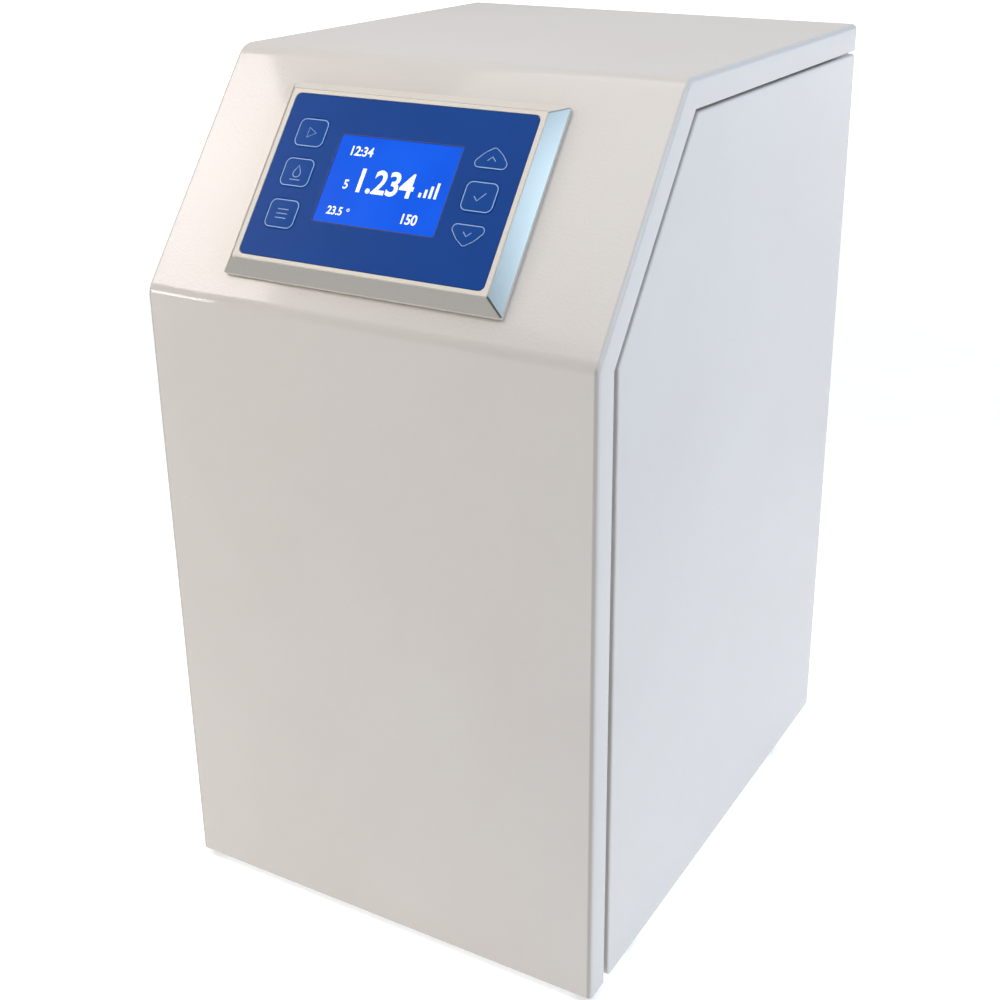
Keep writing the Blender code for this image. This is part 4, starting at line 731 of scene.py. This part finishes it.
def display_frame():
    """The bevelled frame: crisp mitred chamfers, eased lines along them and a round-cornered pocket."""
    foot, top, bevel = BEZEL_HEIGHT - BEZEL_BEVEL, BEZEL_HEIGHT, BEZEL_BEVEL
    eased, groove = BEZEL_EASE, BEZEL_GROOVE
    rows = [(0.0, SEAT_GAP), (0.0, foot - eased), (0.3 * eased, foot + 0.3 * eased)]
    rows += [(bevel - eased, top - eased), (bevel - 0.3 * eased, top - 0.4 * eased), (bevel, top - groove)]
    rows += [(bevel + groove, top - groove), (bevel + 1.2 * groove, top)]
    loops = [flat(grown_box(BEZEL_SIZE, -inset, BEZEL_CORNER), level) for inset, level in rows]
    rows = [(eased, top), (0.3 * eased, top - 0.3 * eased), (0.0, top - eased), (0.0, POCKET_FLOOR)]
    for grow, level in rows:
        loops.append(flat(grown_box(OVERLAY_SIZE, SEAT_GAP + grow, OVERLAY_CORNER + grow), level))
    upper = grown_box(WINDOW_SIZE, LEDGE_WIDTH, OVERLAY_CORNER)
    lower = rounded_box(*WINDOW_SIZE, OVERLAY_CORNER)
    loops += [flat(upper, POCKET_FLOOR), flat(upper, LEDGE), flat(lower, LEDGE), flat(lower, SEAT_GAP)]
    obj = loft("display_frame", loops, True, on_slope(*BEZEL_CENTRE), 20.0)
    own(obj, BEZEL, "satin_frame", "case", "display_bezel")
    obj.data.materials.append(CHAMFER)
    # The top chamfer takes the satin finish, not the cut one, so that side shows lighter than the other
    # three: painted light.
    turn = on_slope().to_3x3().inverted()
    for face in obj.data.polygons:
        normal = turn @ face.normal
        face.material_index = 1 if 0.5 < normal.z < 0.9 and normal.y < 0.3 else 0


def key_outline(kind, grow=0.0, tip=ARROW_TIP, bulge=ARROW_BULGE):
    """A rounded square, or a rounded triangle that points up or down."""
    if kind == "square":
        return grown_box(KEY_SIZE, grow, KEY_CORNER + grow)
    radius = ARROW_CORNER + grow
    x, y = ARROW_SIZE[0] / 2 + grow + radius, ARROW_SIZE[1] / 2 + grow
    side = (ARROW_BULGE_SHARE * x, y - ARROW_BULGE_SHARE * 2 * y + bulge)
    corners = [(x, -y), side, (0.0, y), (-side[0], side[1]), (-x, -y)]
    if kind == "down":
        corners = [(a, -b) for a, b in reversed(corners)]
    tip = max(tip + grow, ARROW_TIP_LEAST)
    return rounded(corners, [radius, ARROW_BULGE_RADIUS, tip, ARROW_BULGE_RADIUS, radius])


def key(name, u, v, kind):
    """An embossed key: a soft round shoulder, a faint crown and a printed line round it."""
    place = on_slope(u, v)
    edge = key_outline(kind, KEY_GROW)
    loops = [flat(edge, KEY_TOP - KEY_HEIGHT), flat(edge, KEY_TOP - 0.55 * MM)]
    for drop, inset in mm(KEY_SHOULDER):
        loops.append(flat(key_outline(kind, -inset), KEY_TOP - drop))
    own(loft(f"{name}_cap", loops, place=place, sharp=60.0), KEY_FILM, "blue_membrane", name, name)
    inset = LINE_INSET if kind == "square" else ARROW_LINE_INSET
    outer, inner = [key_outline(kind, side - inset, ARROW_LINE_TIP, ARROW_LINE_BULGE)
                    for side in (LINE_WIDTH / 2, -LINE_WIDTH / 2)]
    line = rim(f"{name}_line", outer, inner, KEY_TOP - 0.30 * MM, KEY_TOP - 0.10 * MM + INK, place)
    own(line, LINE_INK, "blue_membrane", name)


def stroke(name, points, width, level, body, place, material=None, closed=False, slot="blue_membrane"):
    """A printed line of even width along points in mm, with round ends and joints."""
    curve = bpy.data.curves.new(name, "CURVE")
    curve.dimensions = "3D"
    curve.bevel_mode = "ROUND"
    curve.bevel_depth = width / 2
    curve.bevel_resolution = 3
    curve.use_fill_caps = True
    spline = curve.splines.new("POLY")
    spline.points.add(len(points) - 1)
    for target, (x, y) in zip(spline.points, mm(points)):
        target.co = (x, y, 0.0, 1.0)
    spline.use_cyclic_u = closed
    obj = add_object(name, curve)
    flatten = Matrix.Diagonal((1.0, 1.0, INK * 2 / width, 1.0))
    obj.matrix_world = place @ Matrix.Translation((0.0, 0.0, level)) @ flatten
    return own(obj, material or LINE_INK, slot, body)


def writing(name, text, height, centre, align, place, material=SCREEN_INK, slot="screen"):
    """Characters in the plain built-in face, their height and centre in mm."""
    height = height * MM
    curve = bpy.data.curves.new(name, "FONT")
    curve.body = text
    curve.size = height / CAPITAL_SHARE
    curve.align_x = align
    curve.extrude = INK / 2
    curve.offset = height * 0.03
    curve.space_character = 0.98
    obj = add_object(name, curve)
    narrow = Matrix.Diagonal((0.92, 1.0, 1.0, 1.0))
    obj.matrix_world = place @ Matrix.Translation((centre[0] * MM, centre[1] * MM, 0.0)) @ narrow
    return own(obj, material, slot, "case")


def camera():
    """The camera where the photograph was taken, worked out from the case's edges."""
    level = math.cos(CAMERA_ELEVATION)
    across, ahead = math.sin(CAMERA_AZIMUTH) * level, math.cos(CAMERA_AZIMUTH) * level
    back = Vector((across, -ahead, math.sin(CAMERA_ELEVATION)))
    data = bpy.data.cameras.new("photo_camera")
    data.lens = FOCAL_PIXELS / FRAME_PIXELS * SENSOR_WIDTH
    data.sensor_width = SENSOR_WIDTH
    data.shift_x = (FRAME_PIXELS / 2 - CENTRE_PIXEL[0]) / FRAME_PIXELS
    data.shift_y = (CENTRE_PIXEL[1] - FRAME_PIXELS / 2) / FRAME_PIXELS
    data.clip_start, data.clip_end = 0.01, 50.0
    obj = add_object("photo_camera", data)
    turn = (-back).to_track_quat("-Z", "Y").to_matrix().to_4x4()
    spot = Matrix.Translation(Vector(CAMERA_TARGET) + back * CAMERA_DISTANCE)
    obj.matrix_world = spot @ turn @ Matrix.Rotation(CAMERA_ROLL, 4, "Z")
    bpy.context.scene.camera = obj


def area_light(name, place, aim, size, power, colour):
    """A soft box aimed at a point."""
    data = bpy.data.lights.new(name, "AREA")
    data.shape = "RECTANGLE"
    data.size, data.size_y = size
    data.energy = power
    data.color = colour
    obj = add_object(name, data)
    obj.location = place
    obj.rotation_euler = (Vector(aim) - Vector(place)).to_track_quat("-Z", "Y").to_euler()


def room():
    """A white room that darkens towards the camera and turns cool at the right, and shows as plain white."""
    n = Nodes("white_room", bpy.data.worlds, "Background", "Generated")
    colour = ROOM_LIGHT
    sides = ((COOL_HEADING, COOL_SPREAD, ROOM_COOL), (DARK_HEADING, DARK_SPREAD, ROOM_DARK))
    for towards, spread, end in sides:
        dot = n.add("ShaderNodeVectorMath", {0: n.place, 1: towards}, operation="DOT_PRODUCT")
        fade = n.ramp(dot.outputs["Value"], *spread, interpolation_type="SMOOTHSTEP")
        colour = n.mix(fade, colour, end)
    n.feed(Color=n.mix(n.add("ShaderNodeLightPath").outputs["Is Camera Ray"], colour, PURE_WHITE))
    bpy.context.scene.world = n.block
    bpy.context.scene.view_settings.view_transform = "Standard"


def studio():
    """A pale, faintly glowing floor, and the soft boxes."""
    floor = slab("pale_floor", rounded_box(12.0, 12.0, 0.5), -20 * MM, 0.0)
    n = Nodes("pale_floor")
    mottle = n.noise(5.0, 4.0)
    n.feed(Base_Color=n.mix(n.ramp(mottle, 0.3, 0.7), (0.82, 0.82, 0.82, 1.0), (0.85, 0.85, 0.85, 1.0)))
    n.feed(Roughness=n.spread(mottle, 0.55, 0.65))
    far_off = n.add("ShaderNodeVectorMath", {0: n.place}, operation="LENGTH").outputs["Value"]
    near, middle, far = FLOOR_GLOW
    fade, rise = n.ramp(far_off, *GLOW_NEAR, near, middle), n.ramp(far_off, *GLOW_FAR, 0.0, far - middle)
    n.feed(Emission_Color=PURE_WHITE, Emission_Strength=n.math("ADD", fade, rise))
    floor.data.materials.append(n.block)
    for light in LIGHTS:
        area_light(*light)


def icons():
    """Plain marks on the keys, and a dark blue ring of painted shade round the screen window."""
    drop = [(0.0, 4.2)] + arc((0.0, -0.6), 2.4, 150.0, 390.0, 16)
    marks = {
        "key_left_top": [([(-2.2, 3.0), (3.2, 0.0), (-2.2, -3.0)], True)],
        "key_left_middle": [(drop, True), ([(-3.4, -4.6), (3.4, -4.6)], False)],
        "key_left_bottom": [([(-3.6, height), (3.6, height)], False) for height in (2.6, 0.0, -2.6)],
        "key_up": [([(-2.4, -2.0), (0.0, 0.4), (2.4, -2.0)], False)],
        "key_select": [([(-3.2, 0.0), (-0.8, -2.4), (3.4, 2.4)], False)],
        "key_down": [([(-2.4, 2.0), (0.0, -0.4), (2.4, 2.0)], False)],
    }
    for name, u, v, _ in KEYS:
        place = on_slope(u, v)
        for number, (points, closed) in enumerate(marks[name], 1):
            stroke(f"{name}_mark_{number}", points, LINE_WIDTH, MARK_LEVEL, name, place, closed=closed)
    # Painted shade: a dark blue ring round the screen window's edge, where the glass lies sunk below the
    # film.
    inner = grown_box(LCD_SIZE, SHADE_RING_INNER, MM)
    outer = grown_box(LCD_SIZE, SHADE_RING_OUTER, 1.5 * MM)
    low, high = LCD_FACE - 0.3 * MM, OVERLAY_TOP + 0.04 * MM
    edge = rim("window_shade_ring", outer, inner, low, high, on_slope(*LCD_CENTRE))
    own(edge, WINDOW_SHADE_INK, "blue_membrane", "case")


def readings():
    """Plain numbers on the screen, a level bar and a degree ring."""
    for name, text, height, spot, align in READINGS:
        writing(f"reading_{name}", text, height, spot, align, on_slope(*LCD_CENTRE, LCD_FACE))
    place = on_slope(*LCD_CENTRE)
    ring = point_ring(0.75, 16, (-18.4, -17.6))
    stroke("reading_degree", ring, 0.45 * MM, LCD_FACE, "case", place, SCREEN_INK, True)
    for number in range(4):
        x, height = 22.2 + 3.2 * number, 2.6 + 2.2 * number
        bar = [(x, -5.0), (x, height - 5.0)]
        stroke(f"level_bar_{number + 1}", bar, 1.7 * MM, LCD_FACE, "case", place, SCREEN_INK)


def stand(node, axis="z"):
    """A place on a node's middle line at its near end, with Z along the axis."""
    low, high = (Vector(corner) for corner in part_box(node))
    spot = (low + high) / 2
    index = "xyz".index(axis[-1])
    spot[index] = high[index] if axis.startswith("-") else low[index]
    turns = {"z": (0, "X"), "y": (-90, "X"), "-y": (90, "X"), "-x": (-90, "Y")}
    return at(spot, *turns[axis])


def reach(node, axis):
    """A node's length along an axis in mm."""
    low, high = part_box(node)
    index = "xyz".index(axis)
    return (high[index] - low[index]) / MM


def ribbed(name, profile, ribs, place):
    """A round piece with grip ribs, from (radius, level, rib depth) in mm."""
    loops = []
    for radius, level, depth in mm(profile):
        ring = []
        for i in range(ribs * 6):
            angle = 2 * math.pi * i / (ribs * 6)
            r = radius - depth * (0.5 - 0.5 * math.cos(ribs * angle)) ** 2
            ring.append((r * math.cos(angle), r * math.sin(angle)))
        loops.append(flat(ring, level))
    return loft(name, loops, place=place, sharp=30.0)


def hexagon(radius, count):
    """A hexagon's outline read at the angles of a ring of points."""
    result = []
    for i in range(count):
        angle = 2 * math.pi * i / count
        r = radius / math.cos((angle + math.pi / 6) % (math.pi / 3) - math.pi / 6)
        result.append((r * math.cos(angle), r * math.sin(angle)))
    return result


def screw(name, place, radius):
    """A domed screw head with a hexagon socket."""
    high = 0.55 * radius
    loops = [flat(point_ring(radius, 48), 0.0), flat(point_ring(radius, 48), 0.25 * high)]
    for turn in map(math.radians, (25, 45, 62)):
        loops.append(flat(point_ring(radius * math.cos(turn), 48), high * (0.25 + 0.83 * math.sin(turn))))
    loops.append(flat(hexagon(0.42 * radius, 48), high * 1.02))
    loops.append(flat(hexagon(0.40 * radius, 48), 0.3 * high))
    own(loft(name, loops, place=place, sharp=30.0), ZINC, "zinc_steel", "case")


def rear_panel():
    """The recessed back: a folded tray with its openings, air slots and screws."""
    low, high = REAR_LOW[2], REAR_HIGH[2]
    size, middle = (2 * CHASSIS_SIDE, high - low), (low + high) / 2

    def box_loop(inset, y):
        return flat(grown_box(size, -inset, max(EDGE_RADIUS - inset, FOLD_LEAST), (0.0, middle)), y, "y")

    mouth, inner, eased = REAR - REAR_EDGE, REAR_FOLD - SHEET, 0.5 * MM
    loops = [box_loop(REAR_FOLD * across, REAR_SHEET + REAR_FOLD * along) for across, along in quarter(5)]
    loops += [box_loop(0.0, mouth - eased), box_loop(eased, mouth), box_loop(SHEET - 0.2 * MM, mouth)]
    loops += [box_loop(SHEET, mouth - eased)]
    loops += [box_loop(SHEET + inner * across, REAR_SHEET + SHEET + inner * along)
              for across, along in reversed(quarter(5))]
    panel = loft("back_tray", loops)
    mouth_size = [(reach("power_inlet", axis) - INLET_FLANGE) * MM for axis in "xz"]
    holes = [rounded_box(*mouth_size, EDGE_RADIUS, INLET_CENTRE)]
    ports = [stand(f"{name}_port", "y").translation for name in PORTS]
    holes += [point_ring(PORT_HOLE, 64, (spot.x, spot.z)) for spot in ports]
    for number in range(SLOT_COUNT):
        z = SLOT_CENTRE[1] + SLOT_PITCH * (number - (SLOT_COUNT - 1) / 2)
        holes.append(rounded_box(*SLOT_SIZE, SLOT_CORNER, (SLOT_CENTRE[0], z), steps=6))
    for hole in holes:
        pierce(panel, hole, REAR_SHEET - REACH, REAR_SHEET + REACH, "y")
    own(panel, PAINT, "cream_paint", "case", "rear_panel")
    rises = (low + BACK_SCREW_INSET, middle, high - BACK_SCREW_INSET)
    spots = [(x, z) for x in (-BACK_SCREW_X, BACK_SCREW_X) for z in rises]
    spots += [(INLET_CENTRE[0] + x, INLET_CENTRE[1] + INLET_SCREW) for x in (-INLET_SCREW, INLET_SCREW)]
    for number, (x, z) in enumerate(spots, 1):
        screw(f"back_screw_{number}", at((x, REAR_SHEET + SHEET, z), -90), BACK_SCREW_RADIUS)


def feet():
    """Rubber feet: a worn rim, a groove and a hollow underside."""
    for name in ("foot_left_front", "foot_left_rear", "foot_right_front", "foot_right_rear"):
        radius, height = reach(name, "x") / 2, reach(name, "z")
        rim = [(1.4, 0), (0.5, 0.3), (0, 1), (0, 2), (0.5, 2.2), (0.5, 2.6), (0, 2.8), (0, height)]
        profile = [(4, 2), (5, 0.4), (5.4, 0)] + within(radius, rim)
        own(turned(f"{name}_rubber", profile, place=stand(name)), RUBBER, "black_rubber", "case", name)


def cartridge(node, band):
    """A cartridge: ribbed foot and collar, drawn barrel, coloured band and a seal on its neck."""
    place = stand(node)
    radius, high = reach(node, "x") / 2, reach(node, "z") - NECK_HEIGHT
    step = radius / 8
    body = [
        (2.4, 1.5, 0), (2.2, 0, 0), (2, 0.2, 0), (0.8, step - 0.4, 0), (0.5, step + 0.6, 1),
        (0.5, 4 * step, 1), (0.62, 4.4 * step, 0.6), (0.95, 4.9 * step, 0), (1, 5.1 * step, 0),
        (1, high / 2, 0),
        (1, high - 5.1 * step, 0), (0.8, high - 4.7 * step, 0), (0.15, high - 4 * step, 0),
        (0, high - 3.7 * step, 1), (0, high - 1.3 * step, 1), (0.15, high - step, 0.6),
        (0.9, high - 0.25 * step, 0), (1.2, high, 0),
    ]
    neck = [(1, 0), (0, 0.6), (0, 4.6), (-1.2, 5), (-1.2, 8.6), (0, 9), (0, 13), (-1, 14), (-6, 14), (-6, 9)]
    profile = [(radius - steps * step, level, rib) for steps, level, rib in body]
    profile += [(NECK_RADIUS + out, high + level, 0) for out, level in neck]
    own(ribbed(f"{node}_body", profile, 36, place), WHITE, "white_plastic", node, node)
    ring = hoop(radius - step, high * 0.36, high * 0.62, 0.25)
    own(turned(f"{node}_band", ring, 96, True, place), band, "blue_membrane", node)
    seal = [(NECK_RADIUS - 1 + 1.1 * x, high + 6.8 + 1.5 * z) for x, z in point_ring(1.0, 12)]
    own(turned(f"{node}_seal", seal, 72, True, place), RUBBER, "black_rubber", node)


def vessel():
    """The membrane's pressure vessel with its end ring, band and knurled cap."""
    place = stand("ro_vessel")
    radius, length = reach("ro_vessel", "x") / 2, reach("ro_vessel", "z")
    wall = [(4, 0.6), (3.4, 0), (2.5, 0.4), (0.6, 3.2), (0, 4.4), (0, 14), (1.2, 14.8), (1.2, 17), (0.4, 18),
            (0.4, length - 20), (0, length - 19), (0, length - 4), (1.6, length - 1.4), (4, length)]
    tube = turned("vessel_tube", within(radius, wall), 96, place=place)
    own(tube, WHITE, "white_plastic", "case", "ro_vessel")
    ring = hoop(radius - 0.4, 120, 190, 0.2)
    own(turned("vessel_band", ring, 96, True, place), BAND_BLUE, "blue_membrane", "case")
    radius, height = reach("ro_cap", "x") / 2, reach("ro_cap", "z")
    crown = [(3, 0, 0), (0.6, 0.2, 0), (0, 1, 0.9), (0, height - 5, 0.9), (1, height - 3, 0.4),
             (4, height - 0.3, 0), (6, height, 0), (radius - 9, height, 0)]
    cap = ribbed("vessel_cap", within(radius, crown), 48, stand("ro_cap"))
    own(cap, WHITE, "white_plastic", "case", "ro_cap")


def pump():
    """The pump's motor can with its two grooves, and the head's screws."""
    radius, length = reach("pump_motor", "x") / 2, reach("pump_motor", "y")
    wall = [(2, length - 4), (2, 0), (0.4, 0), (0, 0.5)]
    for level in (8, length - 12):
        wall += [(0, level), (0.6, level + 0.5), (0.6, level + 1.6), (0, level + 2.1)]
    wall += [(0, length - 3), (0.6, length - 1.2), (2, length - 0.3), (4, length), (radius - 7, length),
             (radius - 6, length - 1.5)]
    can = turned("motor_can", within(radius, wall), 96, place=stand("pump_motor", "y"))
    own(can, MOTOR, "motor_grey", "case", "pump_motor")
    dress("pump_head", BLACK, 1.6 * MM, 3)
    for number, (x, z) in enumerate(((-24, 24), (-24, -24), (24, 24), (24, -24)), 1):
        spot = stand("pump_head", "y") @ at((x * MM, z * MM, 0.4 * MM), 180)
        screw(f"pump_screw_{number}", spot, SCREW_RADIUS)


def valves():
    """Brass valve blocks with moulded coils and connector tabs, and iron plungers."""
    iron = [(4, 0), (5, 1), (5, 30.2), (7.4, 30.3), (8, 30.9), (8, 34.4), (7.2, 35.4), (5, 38), (4, 38),
            (3.6, 37)]
    for name in ("inlet_valve", "flush_valve"):
        node = f"{name}_body"
        place, top = stand(node), reach(node, "z")
        width, length = reach(node, "x"), reach(node, "y")
        block = [(0.6, 0), (0, 0.6), (0, 21.4), (0.6, 22)]
        loops = boxed((width - 2 * e, length - 2 * e, 3, z) for e, z in block)
        own(loft(f"{name}_block", loops, place=place), BRASS, "brass", "case", node)
        coil = [(1.2, 22), (0, 22.8), (0, 29), (0.5, 29.5), (0.5, 49), (0, 49.5), (0, top - 1.2), (1.2, top)]
        loops = boxed((COIL_WIDTH - 2 * e, COIL_WIDTH - 2 * e, 3, z) for e, z in coil)
        bore = point_ring(5.4 * MM, 36, start=-math.pi / 4)
        loops += [flat(bore, top * MM), flat(bore, (top - 30.3) * MM)]
        own(loft(f"{name}_coil", loops, place=place), BLACK, "black_moulding", "case")
        for number, y in enumerate((-5 * MM, 5 * MM), 1):
            tab = [flat(rounded_box(0.8 * MM, 4.6 * MM, 0.3 * MM, (0.0, y)), z * MM) for z in (0, 6, 6.6)]
            spot = place @ at((-COIL_WIDTH / 2 * MM, 0.0, 34 * MM), -90, "Y")
            own(loft(f"{name}_tab_{number}", tab, place=spot), ZINC, "zinc_steel", "case")
        node = f"{name}_plunger"
        own(turned(f"{name}_iron", iron, 64, place=stand(node)), ZINC, "zinc_steel", node, node)


def sensors():
    """The pressure switch with its stepped cap, and the conductivity cell with its hexagon nut."""
    profile = [(14, 0), (14, 6), (13.2, 6.6), (13.2, 8), (14, 8.6), (14, 22), (10.8, 25.3), (10.2, 27),
               (7.4, 33.4), (6.6, 34), (3, 34), (2.6, 32)]
    case = turned("switch_case", profile, 72, place=stand("pressure_switch", "-x"))
    own(case, BLACK, "black_moulding", "case", "pressure_switch")
    nut = hexagon(9.6 * MM, 72)
    loops = [flat(nut, 0.0), flat(nut, 9.2 * MM)]
    stem = ((9, 10), (8, 10.2), (8, 20), (7.4, 20.6), (7.4, 22), (8, 22.6), (8, 29.4), (4.6, 38.6), (3.6, 40))
    loops += [flat(point_ring(radius, 72), level) for radius, level in mm(stem)]
    cell = loft("cell_case", loops, place=stand("conductivity_cell"))
    own(cell, BLACK, "black_moulding", "case", "conductivity_cell")


def fittings():
    """Push-fit ports with ring grips, and their grey release collets."""
    body = [(6.4, -22), (7, -21.2), (7, -5.1), (8.6, -4.9), (9, -4.4), (9, -2.4), (8.6, -1.9), (7, -1.8),
            (7, 0.3), (11.6, 0.3), (12, 0.7), (12, 2.5), (11.5, 3), (9, 3.1), (9, 6.8), (8.5, 7.2),
            (8.5, 8.2), (9, 8.6), (9, 13.6), (8.3, 14.5), (6.4, 14.5), (6.1, 14.2), (6.1, 5.7), (3.4, 5.7),
            (3.4, 0.3)]
    body = [(radius, level + PORT_TAIL) for radius, level in body]
    ring = [(5.8, 0.3), (5.5, 0), (3.7, 0), (3.4, 0.3), (3.4, 8.5), (3.9, 9), (5.4, 9), (5.8, 8.6)]
    for name in PORTS:
        port, collet = f"{name}_port", f"{name}_collet"
        own(turned(f"{name}_fitting", body, place=stand(port, "y")), WHITE, "white_plastic", "case", port)
        own(turned(f"{name}_ring", ring, 64, True, stand(collet, "y")), GREY, "grey_plastic", collet, collet)


def boards():
    """The control board's parts: packages, capacitors and connectors on its back."""
    dress("key_board", BOARD)
    dress("control_board", BOARD, 0.1 * MM, 1)
    back = on_slope(*BEZEL_CENTRE, CONTROL_BACK)
    parts = (("chip_1", -30, -12, 14, 14, 1.6), ("chip_2", 8, 10, 10, 7, 1.4), ("chip_3", 8, -14, 10, 7, 1.4),
             ("plug_1", -46, 26, 22, 6, 8), ("plug_2", 34, 27, 16, 6, 8), ("relay", 44, -12, 15, 12, 11))
    for name, x, y, width, length, height in parts:
        rows = ((0, 0.1), (0, 0.4 - height), (0.6, -height))
        loops = boxed((width - e, length - e, 0.5, z) for e, z in rows)
        part = loft(name, loops, place=back @ at((x * MM, y * MM, 0.0)))
        own(part, WHITE if name.startswith("plug") else BLACK, "circuit_board", "case")
    profile = [(3.8, -0.1), (4, 0.4), (4, 1.4), (3.7, 1.8), (4, 2.2), (4, 9.4), (3.6, 10), (2.8, 9.8)]
    for number, (x, y) in enumerate(((24, 8), (24, -4), (-8, 26), (-20, 26)), 1):
        can = turned(f"capacitor_{number}", profile, 48, place=back @ at((x * MM, y * MM, 0.0), 180))
        own(can, MOTOR, "circuit_board", "case")


def inlet():
    """The black inlet, its drawer's grip, and the marks on the rocker's two ends."""
    for name, edge in (("power_inlet", 0.3), ("power_rocker", 0.4), ("fuse_drawer", 0.3)):
        dress(name, BLACK, edge * MM)
    grip = boxed((13 + 2 * e, 1.6 + 2 * e, 0.6, z) for e, z in ((0.2, -0.2), (0.1, 0.3), (-0.2, 0.6)))
    face = stand("fuse_drawer", "-y").translation
    own(loft("drawer_grip", grip, place=at(face, -90)), BLACK, "black_moulding", "fuse_drawer")
    spot = stand("power_rocker", "y").translation + Vector((0.0, ROCKER_RADIUS, 0.0))
    across = Vector((-1.0, 0.0, 0.0))
    for name, side, points in (("line", 1, [(0.0, -1.6), (0.0, 1.6)]), ("ring", -1, point_ring(1.7, 40))):
        inner, outer = Vector(ROCKER_DIP), Vector(ROCKER_END)
        outer.z *= side
        up = (outer - inner).normalized() * side
        turn = Matrix((across, up, across.cross(up))).transposed().to_4x4()
        place = at(spot, ROCKER_DEGREES) @ Matrix.Translation((inner + outer) / 2) @ turn
        body, closed = "power_rocker", name == "ring"
        stroke(f"rocker_{name}", points, 0.6 * MM, 0.0, body, place, WHITE, closed, "black_moulding")


def plate_screws():
    """Screws in the middle plate, on its left face."""
    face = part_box("mid_plate")[0][0]
    spots = mm((y, z) for y in PLATE_SCREWS_Y for z in PLATE_SCREWS_Z)
    for number, (y, z) in enumerate(spots, 1):
        screw(f"plate_screw_{number}", at((face, y, z), -90, "Y"), SCREW_RADIUS)


def supply():
    """The power supply's cover, with two columns of air slots in its face."""
    low, high = (Vector(corner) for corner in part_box("power_supply"))
    size, centre = (high.y - low.y, high.z - low.z), ((low.y + high.y) / 2, (low.z + high.z) / 2)

    def cover_loop(inset, x):
        return flat(grown_box(size, -inset, max(EDGE_RADIUS - inset, FOLD_LEAST), centre), x, "x")

    worn = SUPPLY_EDGE
    rows = [(worn, low.x), (0.3 * worn, low.x + 0.3 * worn), (0.0, low.x + worn), (0.0, high.x),
            (SHEET, high.x), (SHEET, low.x + SHEET)]
    cover = loft("supply_cover", [cover_loop(inset, x) for inset, x in rows])
    for column in (-SUPPLY_COLUMN, SUPPLY_COLUMN):
        for row in range(SUPPLY_ROWS):
            spot = (centre[0] + column, centre[1] + SUPPLY_PITCH * (row - (SUPPLY_ROWS - 1) / 2))
            hole = rounded_box(*SUPPLY_SLOT, SUPPLY_CORNER, spot, steps=6)
            pierce(cover, hole, low.x - 2 * SHEET, low.x + 2 * SHEET, "x")
    own(cover, ZINC, "zinc_steel", "case", "power_supply")


def manifold():
    """The cartridges' head, with a raised number over each cartridge on its outer face."""
    dress("cartridge_head", WHITE, 1.0 * MM)
    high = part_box("cartridge_head")[1]
    turn = Matrix(((0.0, 0.0, 1.0), (1.0, 0.0, 0.0), (0.0, 1.0, 0.0))).to_4x4()
    for number, node in enumerate(CARTRIDGE_BANDS, 1):
        place = at((high[0], stand(node).translation.y, high[2] - DIGIT_DROP)) @ turn
        name, height = f"head_number_{number}", DIGIT_HEIGHT
        writing(name, str(number), height, (0, 0), "CENTER", place, GREY, "grey_plastic")


def dress(name, material, edge=0.0, segments=2):
    """Give a piece of the model its finish and eased edges."""
    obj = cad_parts[name]
    obj.data.materials.clear()
    obj.data.materials.append(material)
    if edge:
        ease(obj, edge, segments)
    return obj


def hoses():
    """Round off the model's hoses."""
    for name in ("feed", "pump", "membrane", "permeate", "product", "reject", "drain"):
        obj = dress(f"{name}_hose", HOSE)
        weld = obj.modifiers.new("weld", "WELD")
        weld.merge_threshold = 0.01 * MM
        finer = obj.modifiers.new("round", "SUBSURF")
        finer.levels = finer.render_levels = 2


camera()
room()
studio()
case_shell()
for side_name, side_sign in (("right", 1), ("left", -1)):
    side_panel(side_name, side_sign)
display_frame()
for key_entry in KEYS:
    key(*key_entry)
icons()
readings()
dress("keypad_overlay", FILM)
dress("lcd_module", SCREEN)
rear_panel()
feet()
for cartridge_node, cartridge_band in CARTRIDGE_BANDS.items():
    cartridge(cartridge_node, cartridge_band)
vessel()
pump()
valves()
sensors()
fittings()
boards()
hoses()
inlet()
plate_screws()
supply()
manifold()
for plain_node, (plain_finish, plain_edge) in PLAIN_NODES.items():
    dress(plain_node, plain_finish, plain_edge * MM)
